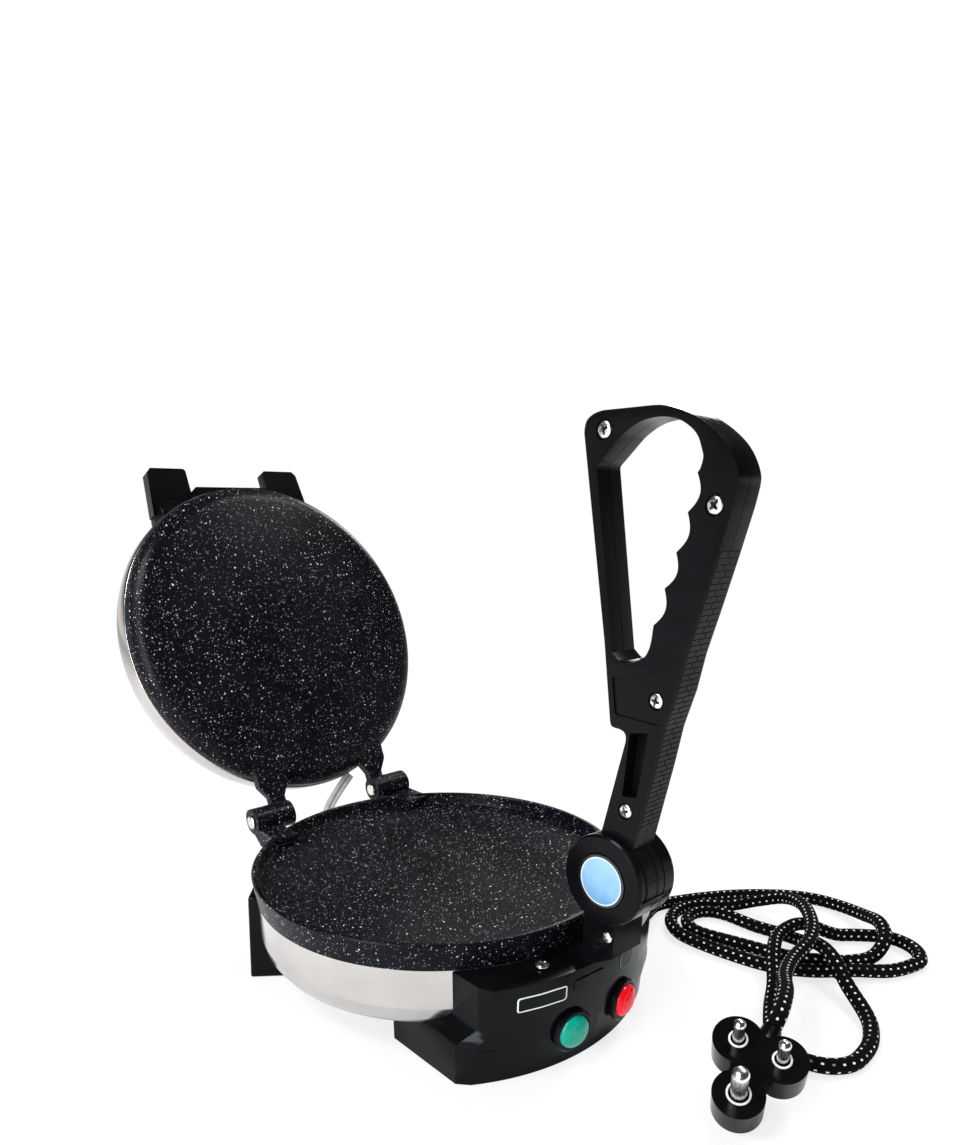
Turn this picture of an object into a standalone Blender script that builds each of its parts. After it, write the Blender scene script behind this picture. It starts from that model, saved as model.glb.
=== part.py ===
"""Electric roti maker: two hinged press plates on a steel bowl, with a press handle and a braided mains lead.

Lengths are in metres and angles in degrees. The plates' common axis is the local Z axis, the front is -Y,
and the root empty sets the plate axis forward of the origin, which is the middle of the footprint.
"""
import math

import bmesh
import bpy
from mathutils import Matrix, Vector

# General
SEAT_GAP = 0.0003
CUT_OVERRUN = 0.002
PLATE_SETBACK = 0.0246
TURN_SEGMENTS = 44
SMALL_SEGMENTS = 20
SCREW_SEGMENTS = 12
SMOOTH_ANGLE = 32.0
MERGE_DISTANCE = 0.000005

# Lower plate, cast aluminium with a raised rim
PLATE_RIM_RADIUS = 0.1000
PLATE_RIM_TOP = 0.0646
PLATE_RIM_WALL = 0.0030
PLATE_RIM_EDGE = 0.0007
RECESS_DEPTH = 0.0076
RECESS_FILLET = 0.0020
PLATE_FLOOR_THICKNESS = 0.0045
PLATE_SKIRT_TAPER = 0.0016
PLATE_SKIRT_RADIUS = PLATE_RIM_RADIUS - PLATE_SKIRT_TAPER
PLATE_SKIRT_BOTTOM = 0.0510
PLATE_SKIRT_WALL = 0.0026
PLATE_STUD_RADIUS = 0.0060
CENTRE_SCREW_HOLE_RADIUS = 0.0023
CENTRE_SCREW_HOLE_DEPTH = 0.0140

# Steel bowl
BOWL_INSET = 0.0004
BOWL_RADIUS = PLATE_SKIRT_RADIUS - BOWL_INSET
BOWL_BOTTOM = 0.0165
BOWL_CORNER_RADIUS = 0.0140
BOWL_WALL = 0.0010
BOWL_WIRE_HOLE_RADIUS = 0.0060
BOWL_WIRE_HOLE_X = 0.0045
BOWL_WIRE_HOLE_INSET = 0.0340
BOWL_WIRE_HOLE_Y = BOWL_WIRE_HOLE_INSET - BOWL_RADIUS

# Hinge
HINGE_STANDOFF = 0.0065
HINGE_LIFT = 0.0020
HINGE_Y = PLATE_RIM_RADIUS + HINGE_STANDOFF
HINGE_Z = PLATE_RIM_TOP + HINGE_LIFT
LID_OPEN_ANGLE = 110.6
KNUCKLE_RADIUS = 0.0078
KNUCKLE_INNER_X = 0.0308
LID_KNUCKLE_LENGTH = 0.0103
EAR_LENGTH = 0.0149
KNUCKLE_SPLIT_X = KNUCKLE_INNER_X + LID_KNUCKLE_LENGTH
KNUCKLE_OUTER_X = KNUCKLE_SPLIT_X + EAR_LENGTH
KNUCKLE_SIDE_GAP = 0.0004
EAR_TOP_DROP = 0.0008
EAR_BOTTOM_LIFT = 0.0025
EAR_TOP = PLATE_RIM_TOP - EAR_TOP_DROP
EAR_BOTTOM = PLATE_SKIRT_BOTTOM + EAR_BOTTOM_LIFT
PIN_RADIUS = 0.0025
PIN_CLEARANCE = 0.0003
PIN_HEAD_RADIUS = 0.0040
PIN_HEAD_THICKNESS = 0.0012
PIN_DIMPLE_RADIUS = 0.0012
PIN_DIMPLE_DEPTH = 0.0008

# Upper plate and lid, in their closed position
LID_FACE_DROP = 0.0001
LID_PLATE_CLEARANCE = 0.0030
LID_FACE_Z = PLATE_RIM_TOP - LID_FACE_DROP
LID_PLATE_RADIUS = PLATE_RIM_RADIUS - PLATE_RIM_WALL - LID_PLATE_CLEARANCE
LID_PLATE_ROUNDING = 0.0110
LID_PLATE_THICKNESS = 0.0045
LID_PLATE_WALL = 0.0040
COVER_OVERHANG = 0.0010
COVER_HEIGHT = 0.0375
COVER_RADIUS = LID_PLATE_RADIUS + COVER_OVERHANG
COVER_TOP = LID_FACE_Z + COVER_HEIGHT
COVER_CORNER_RADIUS = 0.0140
COVER_LIP_ROUNDING = 0.0015
COVER_LIP_WIDTH = 0.0040
COVER_WALL = 0.0010
ARM_THICKNESS = 0.0062
ARM_INSET = 0.0007
ARM_ROOT_FLARE_IN = 0.0038
ARM_ROOT_FLARE_OUT = 0.0049
ARM_FLARE_SETBACK = 0.0110
ARM_ROOT_DEPTH = 0.0180
ARM_INNER_X = KNUCKLE_INNER_X + ARM_INSET
ARM_ROOT_INNER_X = KNUCKLE_INNER_X - ARM_ROOT_FLARE_IN
ARM_ROOT_OUTER_X = KNUCKLE_SPLIT_X + ARM_ROOT_FLARE_OUT
ARM_FLARE_Y = HINGE_Y - ARM_FLARE_SETBACK
ARM_ROOT_Y = LID_PLATE_RADIUS - ARM_ROOT_DEPTH

# Press bracket on the lid
HORN_INNER_X = 0.0260
HORN_WIDTH = 0.0240
HORN_ROOT_FLARE = 0.0030
HORN_REACH = 0.0170
HORN_DROP = 0.0030
HORN_THICKNESS = 0.0082
HORN_OUTER_X = HORN_INNER_X + HORN_WIDTH
HORN_ROOT_OUTER_X = HORN_OUTER_X + HORN_ROOT_FLARE
HORN_TIP_Y = -COVER_RADIUS - HORN_REACH
HORN_TOP = COVER_TOP - HORN_DROP
HORN_BOTTOM = HORN_TOP - HORN_THICKNESS
HORN_TIP_CHAMFER = 0.0025
CROSSBAR_OVERLAP = 0.0020
CROSSBAR_REACH = 0.0030
CROSSBAR_DROP = 0.0075
CROSSBAR_HEIGHT = 0.0115
LEG_LENGTH = 0.0350
CROSSBAR_HALF_WIDTH = HORN_INNER_X - CROSSBAR_OVERLAP
CROSSBAR_TIP_Y = -COVER_RADIUS - CROSSBAR_REACH
CROSSBAR_TOP = COVER_TOP - CROSSBAR_DROP
CROSSBAR_BOTTOM = CROSSBAR_TOP - CROSSBAR_HEIGHT
LEG_BACK_Y = LEG_LENGTH - COVER_RADIUS
LEG_THICKNESS = 0.0030
LEG_SCREW_INSET = 0.0090
LEG_SCREW_X = HORN_INNER_X + HORN_WIDTH / 2
LEG_SCREW_Y = LEG_BACK_Y - LEG_SCREW_INSET

# Heating elements and their clamps
ELEMENT_RING_INSET = 0.0440
ELEMENT_RING_RADIUS = PLATE_RIM_RADIUS - ELEMENT_RING_INSET
ELEMENT_ROD_RADIUS = 0.0033
ELEMENT_LEG_X = 0.0120
ELEMENT_LEG_LENGTH = 0.0110
CLAMP_REACH = 0.0120
CLAMP_RADIUS = ELEMENT_RING_RADIUS + CLAMP_REACH
CLAMP_THICKNESS = 0.0012
CLAMP_HOLE_CLEARANCE = 0.0006
CLAMP_NUT_RADIUS = 0.0100
CLAMP_NUT_HEIGHT = 0.0045
THERMOSTAT_RADIUS = 0.0085
THERMOSTAT_HEIGHT = 0.0090
THERMOSTAT_SHIFT = 0.00135
THERMOSTAT_X = (CLAMP_NUT_RADIUS + ELEMENT_RING_RADIUS - ELEMENT_ROD_RADIUS) / 2 - THERMOSTAT_SHIFT

# Control box
BOX_TOP_DROP = 0.0010
BOX_SIDE_X = 0.0670
BOX_FRONT_NARROWING = 0.0045
BOX_UPPER_NARROWING = 0.0085
BOX_FRONT_REACH = 0.0180
BOX_TUCK = 0.0540
BOX_UPPER_SIDE_SETBACK = 0.0205
BOX_LOWER_SIDE_SETBACK = 0.0265
BOX_TOP = PLATE_SKIRT_BOTTOM - BOX_TOP_DROP
BOX_FRONT_X = BOX_SIDE_X - BOX_FRONT_NARROWING
BOX_UPPER_X = BOX_SIDE_X - BOX_UPPER_NARROWING
BOX_FRONT_RADIUS = BOWL_RADIUS + BOX_FRONT_REACH
BOX_BACK_Y = BOX_TUCK - BOWL_RADIUS
BOX_UPPER_SIDE_Y = BOX_UPPER_SIDE_SETBACK - BOX_FRONT_RADIUS
BOX_LOWER_SIDE_Y = BOX_LOWER_SIDE_SETBACK - BOX_FRONT_RADIUS
BOX_WALL = 0.0024
BOX_STEP_LIFT = 0.0025
BOX_STEP_HEIGHT = 0.0110
BOX_STEP_LOW = BOWL_BOTTOM + BOX_STEP_LIFT
BOX_STEP_BENDS = 4
BOX_FOOT_RADIUS_SHARE = 0.979
BOX_TOP_RADIUS_SHARE = 1.004
BOX_ARC_STEPS = 10
BOX_COVER_THICKNESS = 0.0022
BOX_BOSS_RADIUS = 0.0036
BOX_BOSS_HOLE_RADIUS = 0.0015
BOX_REAR_SCREW_INSET = 0.0140
BOX_REAR_SCREW_SIDE_INSET = 0.0170
BOX_FRONT_SCREW_INSET = 0.0180
BOX_FRONT_SCREW_SIDE_INSET = 0.0270
BOX_REAR_SCREW_X = BOX_SIDE_X - BOX_REAR_SCREW_SIDE_INSET
BOX_REAR_SCREW_Y = BOX_BACK_Y - BOX_REAR_SCREW_INSET
BOX_FRONT_SCREW_X = BOX_SIDE_X - BOX_FRONT_SCREW_SIDE_INSET
BOX_FRONT_SCREW_Y = BOX_FRONT_SCREW_INSET - BOX_FRONT_RADIUS
BOX_SCREW_HEAD_RADIUS = 0.0028
BOX_SCREW_HEAD_HEIGHT = 0.0010
BOX_SCREW_SHANK_RADIUS = 0.0012
BOX_SCREW_LENGTH = 0.0080
TERMINAL_WIDTH = 0.0300
TERMINAL_DEPTH = 0.0120
TERMINAL_HEIGHT = 0.0095
TERMINAL_INSET = 0.0310
SHOULDER_SCREW_INSET = 0.0133
SHOULDER_SCREW_X = 0.0261
TERMINAL_Y = TERMINAL_INSET - BOX_FRONT_RADIUS
SHOULDER_SCREW_Y = SHOULDER_SCREW_INSET - BOX_FRONT_RADIUS

# Signal lamps on the box front
LAMP_ANGLE = 9.0
LAMP_Z = 0.0190
LENS_RADIUS = 0.0082
LENS_DOME_HEIGHT = 0.0036
LENS_STEM_LENGTH = 0.0040
BEZEL_RADIUS = 0.0108
BEZEL_FLANGE = 0.0018
BEZEL_SLEEVE_WALL = 0.0010
BEZEL_SLEEVE_LENGTH = 0.0090
NEON_RADIUS = 0.0030
NEON_LENGTH = 0.0090

# Rear feet
FOOT_ANGLE = 141.0
FOOT_HALF_WIDTH = 0.0172
FOOT_TOP_DROP = 0.0020
FOOT_REACH = 0.0075
FOOT_TOP_REACH = 0.0040
FOOT_TUCK = 0.0280
FOOT_TOP = PLATE_SKIRT_BOTTOM - FOOT_TOP_DROP
FOOT_OUTER_RADIUS = BOWL_RADIUS + FOOT_REACH
FOOT_TOP_RADIUS = BOWL_RADIUS + FOOT_TOP_REACH
FOOT_INNER_RADIUS = BOWL_RADIUS - FOOT_TUCK
FOOT_TONGUE_TOP_GAP = 0.0003
FOOT_SCREW_INSET = 0.0180
FOOT_SCREW_RADIUS = BOWL_RADIUS - FOOT_SCREW_INSET
FOOT_SCREW_HEAD_RADIUS = 0.0034
FOOT_SCREW_HEAD_HEIGHT = 0.0018
FOOT_SCREW_SHANK_RADIUS = 0.0016
FOOT_SCREW_RECESS = 0.0050

# Press handle and its pivot
HUB_RADIUS = 0.0205
HUB_STEP = 0.0033
HUB_CLEARANCE = 0.0010
HUB_RISE = 0.0299
HUB_BOSS_PROUD = 0.0014
HUB_RELIEF_DEPTH = 0.0020
HUB_NECK_RADIUS = HUB_RADIUS - HUB_STEP
HUB_Y = -PLATE_RIM_RADIUS - HUB_CLEARANCE - HUB_RADIUS
HUB_Z = PLATE_RIM_TOP + HUB_RISE
HUB_STEP_ANGLE = 190.0
HUB_BACK_STEP_ANGLE = 380.0
HUB_BOSS_INSET_ANGLE = 1.0
PRESS_ANGLE = 75.0
HANDLE_REACH = 0.1792
HANDLE_HALF_THICKNESS = 0.0070
HUB_LEFT_X = -HANDLE_HALF_THICKNESS - HUB_BOSS_PROUD
HUB_RIGHT_X = HANDLE_HALF_THICKNESS - HUB_RELIEF_DEPTH
HANDLE_EDGE_ROUNDING = 0.0011
HANDLE_SEAM_GAP = 0.0003
HANDLE_POCKET_DEPTH = 0.0060
HANDLE_PANEL_DEPTH = 0.0008
HANDLE_SCREW_HEAD_RADIUS = 0.0032
HANDLE_SCREW_HEAD_HEIGHT = 0.0016
HANDLE_SCREW_SEAT = 0.0012
HANDLE_SCREW_SHANK_RADIUS = 0.0014
HANDLE_SCREW_LENGTH = 0.0098
HUB_CAP_THICKNESS = 0.0030
HUB_CAP_BEVEL = 0.0010
HUB_DISC_RADIUS = 0.0121
HUB_DISC_THICKNESS = 0.0008
HUB_DISC_PROUD = 0.0003
PIVOT_RADIUS = 0.0030
PIVOT_HEAD_RADIUS = 0.0062
PIVOT_HEAD_THICKNESS = 0.0024
PIVOT_NUT_RADIUS = 0.0056
PIVOT_NUT_THICKNESS = 0.0034
PIVOT_NUT_CLEARANCE = 0.0010
PIVOT_NUT_POCKET_RADIUS = PIVOT_NUT_RADIUS + PIVOT_NUT_CLEARANCE
PIVOT_NUT_POCKET_DEPTH = PIVOT_NUT_THICKNESS + PIVOT_NUT_CLEARANCE

# Handle bracket
CHEEK_THICKNESS = 0.0064
CHEEK_INNER_X = HUB_RIGHT_X + SEAT_GAP
CHEEK_OUTER_X = CHEEK_INNER_X + CHEEK_THICKNESS
SADDLE_START_ANGLE = 192.0
SADDLE_END_ANGLE = 284.0
SADDLE_INNER_RADIUS = HUB_NECK_RADIUS + SEAT_GAP
NECK_HALF_WIDTH = 0.0100
NECK_FRONT_REACH = 0.0075
NECK_BACK_REACH = 0.0095
NECK_SHELF_DROP = 0.0355
NECK_FOOT_INSET = 0.0008
NECK_FOOT_LENGTH = 0.0132
NECK_SCREW_REACH = 0.0043
NECK_SCREW_DROP = 0.0258
NECK_FRONT_Y = HUB_Y - NECK_FRONT_REACH
NECK_BACK_Y = HUB_Y + NECK_BACK_REACH
NECK_SHELF_Z = HUB_Z - NECK_SHELF_DROP
NECK_FOOT_FRONT_Y = NECK_FOOT_INSET - BOX_FRONT_RADIUS
NECK_FOOT_BACK_Y = NECK_FOOT_FRONT_Y + NECK_FOOT_LENGTH
NECK_SCREW_Y = HUB_Y - NECK_SCREW_REACH
NECK_SCREW_Z = HUB_Z - NECK_SCREW_DROP
NECK_SCREW_SEAT = 0.0008
NECK_SCREW_LENGTH = 0.0120
FOOT_BOLT_X = 0.0055
FOOT_BOLT_SETBACK = 0.0060
FOOT_BOLT_Y = NECK_FOOT_FRONT_Y + FOOT_BOLT_SETBACK
FOOT_BOLT_LENGTH = 0.0060

# Pan-head screws
SCREW_HEAD_RADIUS = 0.0032
SCREW_HEAD_HEIGHT = 0.0020
SCREW_SHANK_RADIUS = 0.0015
SCREW_LENGTH = 0.0080
SCREW_CLEARANCE = 0.0003
CROSS_LENGTH_SHARE = 1.15
CROSS_WIDTH_SHARE = 0.26
CROSS_TAPER_SHARE = 0.80
CROSS_DEPTH_SHARE = 0.55

# Mains lead, strain relief, tie and plug
CORD_DIAMETER = 0.0076
CORD_STEP = 0.0156
CORD_REST = 0.00395
RELIEF_LENGTH = 0.0307
RELIEF_ROOT_RADIUS = 0.0064
RELIEF_TIP_RADIUS = 0.0048
RELIEF_GROOVE_RADIUS = 0.0044
RELIEF_FLANGE_RADIUS = 0.0053
RELIEF_INNER_LENGTH = 0.0030
RELIEF_SETBACK = 0.0160
RELIEF_Y = BOX_BACK_Y - RELIEF_SETBACK
RELIEF_Z = 0.0082
TIE_THICKNESS = 0.0005
TIE_WIDTH = 0.0042
TIE_SLACK = 0.0003
TIE_OUTWARD_POINT = (0.1509, -0.1597, 0.0051)
TIE_RETURN_POINT = (0.1442, -0.1668, 0.0051)
PLUG_TILT = 28.4
PLUG_LEAN_HEADING = 204.5
PLUG_SPIN = -79.8
PLUG_X = 0.0197
PLUG_Y = -0.1867
PLUG_FACE_Z = 0.0288
PLUG_BODY_THICKNESS = 0.0150
PLUG_LOBE_RADIUS = 0.0108
PLUG_PIN_SPACING = 0.01905
PLUG_EARTH_DROP = 0.02223
PLUG_LINE_PIN_RADIUS = 0.00254
PLUG_LINE_PIN_LENGTH = 0.0149
PLUG_EARTH_PIN_RADIUS = 0.00353
PLUG_EARTH_PIN_LENGTH = 0.0206
PLUG_PIN_SOCKET = 0.0050
PLUG_COLLAR_RADIUS = 0.0062
PLUG_COLLAR_LENGTH = 0.0080

# Lid lead, a sleeved pair of wires between the bowl and the lid
LID_LEAD_RADIUS = 0.0016

# Handle outline, as shares of the reach from the hub centre (back, up), counted from the hub round the grip
HANDLE_ROOT_BACK_ANGLE = 75.4
HANDLE_ROOT_FRONT_ANGLE = 124.8
HANDLE_ROOT_BACK_INSET = 0.00024
GRIP_OUTER_SHARES = [
    (-0.0240, 0.3438), (-0.0218, 0.3594), (-0.0073, 0.3661), (0.0167, 0.3661),
    (0.0223, 0.3750), (0.0508, 0.5480), (0.1350, 0.9643), (0.1311, 0.9844), (0.1133, 0.9955), (0.0898, 1.0),
    (-0.0368, 1.0), (-0.0608, 0.9983), (-0.1038, 0.9860), (-0.1328, 0.9738), (-0.1674, 0.9531),
    (-0.1975, 0.9291), (-0.2171, 0.9040), (-0.2294, 0.8789), (-0.2316, 0.8633), (-0.2254, 0.8248),
    (-0.2037, 0.7327), (-0.1797, 0.6367), (-0.1546, 0.5413), (-0.1412, 0.4648), (-0.1183, 0.3828),
    (-0.1032, 0.2902), (-0.0859, 0.1992),
]
GRIP_OPENING_SHARES = [
    (0.0285, 0.5290), (0.0982, 0.8990), (0.0357, 0.9542), (-0.0017, 0.9743), (-0.0446, 0.9805),
    (-0.0826, 0.9765), (-0.1122, 0.9643), (-0.1378, 0.9448), (-0.1540, 0.9080), (-0.1500, 0.8880),
]
GRIP_CUSP_SHARES = [(-0.1440, 0.8811), (-0.1306, 0.8125), (-0.1127, 0.7399), (-0.0926, 0.6707), (-0.0731, 0.5971)]
GRIP_THROAT_SHARES = [(-0.0700, 0.5560), (-0.0597, 0.5323), (-0.0300, 0.5150), (0.0056, 0.5110)]
SCALLOP_DEPTH_SHARE = 0.0165
SCALLOP_STEPS = 4
POCKET_SHARES = [(-0.0330, 0.3620), (-0.0830, 0.3720), (-0.0640, 0.2190), (-0.0240, 0.2130)]
PANEL_SHARES = [(0.0250, 0.4760), (-0.1020, 0.5090), (-0.1180, 0.4620), (-0.1060, 0.3920), (0.0110, 0.3960)]
HANDLE_SCREW_SHARES = [(0.0826, 0.9654), (-0.1869, 0.8248), (-0.0915, 0.4420), (-0.0357, 0.1797)]

# Mains lead route on the table: points along its middle, x, y and z from the plate axis and the table
CORD_OUTWARD_ROUTE = [
    (0.0982, -0.0600, 0.0082), (0.1130, -0.0596, 0.0079), (0.1345, -0.0538, 0.0050),
    (0.1570, -0.0610, 0.0040), (0.1800, -0.0745, 0.0040), (0.2000, -0.0908, 0.0040),
    (0.2160, -0.1100, 0.0040), (0.2215, -0.1300, 0.0041), (0.2135, -0.1500, 0.0078),
    (0.2005, -0.1645, 0.0129), (0.1860, -0.1738, 0.0116), (0.1715, -0.1740, 0.0060),
    (0.1580, -0.1668, 0.0051), (0.1475, -0.1560, 0.0052), (0.1393, -0.1390, 0.0040),
    (0.1325, -0.1150, 0.0040),
]
CORD_MIDDLE_ROUTE = [
    (0.1580, -0.1090, 0.0040), (0.1610, -0.1270, 0.0040), (0.1565, -0.1410, 0.0072),
    (0.1475, -0.1525, 0.0142), (0.1388, -0.1650, 0.0146), (0.1285, -0.1785, 0.0084),
    (0.1140, -0.1960, 0.0040), (0.0970, -0.2049, 0.0040),
]
CORD_INWARD_ROUTE = [
    (0.0860, -0.1590, 0.0041), (0.1040, -0.1505, 0.0072), (0.1220, -0.1395, 0.0126),
    (0.1430, -0.1313, 0.0132), (0.1630, -0.1347, 0.0141), (0.1840, -0.1480, 0.0043),
]
CORD_RETURN_ROUTE = [
    (0.1670, -0.1860, 0.0040), (0.1490, -0.1710, 0.0052), (0.1335, -0.1565, 0.0048),
    (0.1230, -0.1380, 0.0040), (0.1175, -0.1150, 0.0040),
]
CORD_PLUG_ROUTE = [
    (0.1698, -0.0846, 0.0046), (0.1800, -0.0975, 0.0092), (0.1845, -0.1125, 0.0152), (0.1735, -0.1290, 0.0208),
    (0.1540, -0.1440, 0.0226), (0.1335, -0.1530, 0.0226), (0.1070, -0.1565, 0.0225), (0.0840, -0.1640, 0.0264),
    (0.0625, -0.1750, 0.0325), (0.0455, -0.1816, 0.0334), (0.0366, -0.1832, 0.0294),
]

# Turns between those stretches: centre, radius, first and last angle in plan
CORD_INNER_TURN = ((0.1420, -0.0900), 0.0157, 196, 0)
CORD_RING_TURN = ((0.0795, -0.1866), 0.0208, -82, -232)
CORD_FAR_TURN = ((0.1870, -0.1755), 0.0174, 45, -95)
CORD_OUTER_TURN = ((0.1413, -0.0909), 0.0257, 184, 46)
CORD_TURN_STEPS = 5

# Lid lead route, from the lid's cover to the bowl's rear wall: points along its middle, from the hinge axis
LID_LEAD_ROUTE = [
    (0.0240, 0.0155, 0.0084), (0.0205, 0.0150, 0.0056), (0.0140, 0.0135, 0.0006), (0.0060, 0.0110, -0.0056),
    (-0.0010, 0.0070, -0.0121), (-0.0060, 0.0015, -0.0181), (-0.0085, -0.0045, -0.0211), (-0.0090, -0.0082, -0.0216),
]

PARTS = None
CUTTERS = None
CORD_SIDE_LEVELS = 2


def clear_scene():
    """Removes what the scene holds and makes the two collections."""
    global PARTS, CUTTERS
    for item in list(bpy.data.objects):
        bpy.data.objects.remove(item, do_unlink=True)
    PARTS = bpy.data.collections.new("roti_maker")
    CUTTERS = bpy.data.collections.new("roti_maker_cutters")
    bpy.context.scene.collection.children.link(PARTS)
    bpy.context.scene.collection.children.link(CUTTERS)


def finish(name, colour, roughness, metallic=0.0, alpha=1.0):
    """A plain surface of the given colour."""
    material = bpy.data.materials.new(name)
    material.use_nodes = True
    shader = material.node_tree.nodes["Principled BSDF"]
    shader.inputs["Base Color"].default_value = (*colour, 1.0)
    shader.inputs["Roughness"].default_value = roughness
    shader.inputs["Metallic"].default_value = metallic
    shader.inputs["Alpha"].default_value = alpha
    return material


def empty(name, location, parent=None, turn=None):
    """An empty that carries a group of pieces."""
    item = bpy.data.objects.new(name, None)
    PARTS.objects.link(item)
    item.parent = parent
    item.location = location
    if turn:
        item.rotation_euler = turn
    return item


def add(item, parent, material=None, offset=(0, 0, 0)):
    """Puts a piece in its collection and under its parent, shaded smooth between its sharp edges."""
    if material is None:
        CUTTERS.objects.link(item)
        item.hide_render = True
        item.display_type = "WIRE"
    else:
        PARTS.objects.link(item)
        item.data.materials.clear()
        item.data.materials.append(material)
    item.parent = parent
    item.location = Vector(item.location) + Vector(offset)
    if item.type == "MESH":
        item.data.shade_smooth()
        item.data.set_sharp_from_angle(angle=math.radians(SMOOTH_ANGLE))
    return item


def object_of(name, bm):
    """Turns a bmesh into an object."""
    mesh = bpy.data.meshes.new(name)
    bm.to_mesh(mesh)
    bm.free()
    return bpy.data.objects.new(name, mesh)


def block(name, low, high):
    """A box between two corners."""
    low = Vector(low)
    high = Vector(high)
    bm = bmesh.new()
    bmesh.ops.create_cube(bm, size=1)
    size = high - low
    bmesh.ops.transform(bm, matrix=Matrix.Translation((low + high) / 2) @ Matrix.Diagonal((*size, 1)), verts=bm.verts)
    return object_of(name, bm)


def bar(name, start, end, radius, segments=SMALL_SEGMENTS, end_radius=None):
    """A round bar or cone between two points."""
    start = Vector(start)
    end = Vector(end)
    along = end - start
    bm = bmesh.new()
    bmesh.ops.create_cone(
        bm, cap_ends=True, segments=segments, radius1=radius,
        radius2=radius if end_radius is None else end_radius, depth=along.length,
    )
    place = Matrix.Translation((start + end) / 2) @ along.to_track_quat("Z", "Y").to_matrix().to_4x4()
    bmesh.ops.transform(bm, matrix=place, verts=bm.verts)
    return object_of(name, bm)


def arc(centre, radius, start, end, steps):
    """Points on an arc, its angles in degrees."""
    points = []
    for step in range(steps + 1):
        angle = math.radians(start + (end - start) * step / steps)
        points.append((centre[0] + radius * math.cos(angle), centre[1] + radius * math.sin(angle)))
    return points


def turned(name, profile, segments=TURN_SEGMENTS, loop=False):
    """A body turned round its Z axis from (radius, height) points that run down its outer side."""
    mesh = bpy.data.meshes.new(name)
    edges = [(i, i + 1) for i in range(len(profile) - 1)]
    if loop:
        edges.append((len(profile) - 1, 0))
    mesh.from_pydata([(r, 0, z) for r, z in profile], edges, [])
    item = bpy.data.objects.new(name, mesh)
    screw = item.modifiers.new("turn", "SCREW")
    screw.axis = "Z"
    screw.steps = segments
    screw.render_steps = segments
    screw.use_smooth_shade = True
    screw.use_merge_vertices = True
    screw.merge_threshold = MERGE_DISTANCE
    return item


def meshed(curve):
    """Makes a welded mesh object of a curve object and removes the curve."""
    bpy.context.scene.collection.objects.link(curve)
    bpy.context.view_layer.update()
    evaluated = curve.evaluated_get(bpy.context.evaluated_depsgraph_get())
    mesh = bpy.data.meshes.new_from_object(evaluated)
    bm = bmesh.new()
    bm.from_mesh(mesh)
    bmesh.ops.remove_doubles(bm, verts=bm.verts, dist=MERGE_DISTANCE)
    bm.to_mesh(mesh)
    bm.free()
    name = curve.name
    place = curve.matrix_world.copy()
    bpy.data.objects.remove(curve, do_unlink=True)
    item = bpy.data.objects.new(name, mesh)
    item.matrix_world = place
    return item


PLANES = {
    "XY": Matrix(((1, 0, 0), (0, 1, 0), (0, 0, 1))),
    "YZ": Matrix(((0, 0, 1), (1, 0, 0), (0, 1, 0))),
}


def slab(name, rings, low, high, plane):
    """A flat outline with holes, given its thickness from low to high across its plane."""
    data = bpy.data.curves.new(name, "CURVE")
    data.dimensions = "2D"
    data.fill_mode = "BOTH"
    data.extrude = (high - low) / 2
    for ring in rings:
        spline = data.splines.new("POLY")
        spline.points.add(len(ring) - 1)
        for point, (a, b) in zip(spline.points, ring):
            point.co = (a, b, 0, 1)
        spline.use_cyclic_u = True
    turn = plane if isinstance(plane, Matrix) else PLANES[plane]
    curve = bpy.data.objects.new(name, data)
    curve.matrix_world = turn.to_4x4() @ Matrix.Translation((0, 0, (low + high) / 2))
    item = meshed(curve)
    item.data.transform(item.matrix_world)
    item.matrix_world = Matrix.Identity(4)
    return item


def loft(name, sections):
    """A solid through stacked (height, outline) sections of equal point counts."""
    bm = bmesh.new()
    rings = [[bm.verts.new((x, y, z)) for x, y in outline] for z, outline in sections]
    count = len(rings[0])
    for lower, upper in zip(rings, rings[1:]):
        for i in range(count):
            j = (i + 1) % count
            bm.faces.new((lower[i], lower[j], upper[j], upper[i]))
    bm.faces.new(list(reversed(rings[0])))
    bm.faces.new(rings[-1])
    bmesh.ops.recalc_face_normals(bm, faces=bm.faces)
    return object_of(name, bm)


def combine(target, other, operation="DIFFERENCE"):
    """Adds a Boolean of another object to a piece."""
    modifier = target.modifiers.new(other.name, "BOOLEAN")
    modifier.operation = operation
    modifier.solver = "EXACT"
    modifier.object = other


def soften_rim(item, across, level, width, segments=2):
    """Rounds the outline edges of a slab on the face at one level across its plane."""
    mesh = item.data
    weights = mesh.attributes.new("bevel_weight_edge", "FLOAT", "EDGE")
    bm = bmesh.new()
    bm.from_mesh(mesh)
    flagged = []
    for edge in bm.edges:
        flat = all(abs(vertex.co[across] - level) < MERGE_DISTANCE for vertex in edge.verts)
        flagged.append(1.0 if flat and edge.calc_face_angle(0.0) > math.radians(SMOOTH_ANGLE) else 0.0)
    bm.free()
    for index, weight in enumerate(flagged):
        weights.data[index].value = weight
    bevel = item.modifiers.new("rounded rim", "BEVEL")
    bevel.limit_method = "WEIGHT"
    bevel.width = width
    bevel.segments = segments
    bevel.use_clamp_overlap = True


def soften(item, width, segments=2, angle=40.0):
    """Rounds every sharp edge of a piece."""
    bevel = item.modifiers.new("rounded edges", "BEVEL")
    bevel.limit_method = "ANGLE"
    bevel.angle_limit = math.radians(angle)
    bevel.width = width
    bevel.segments = segments


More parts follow.
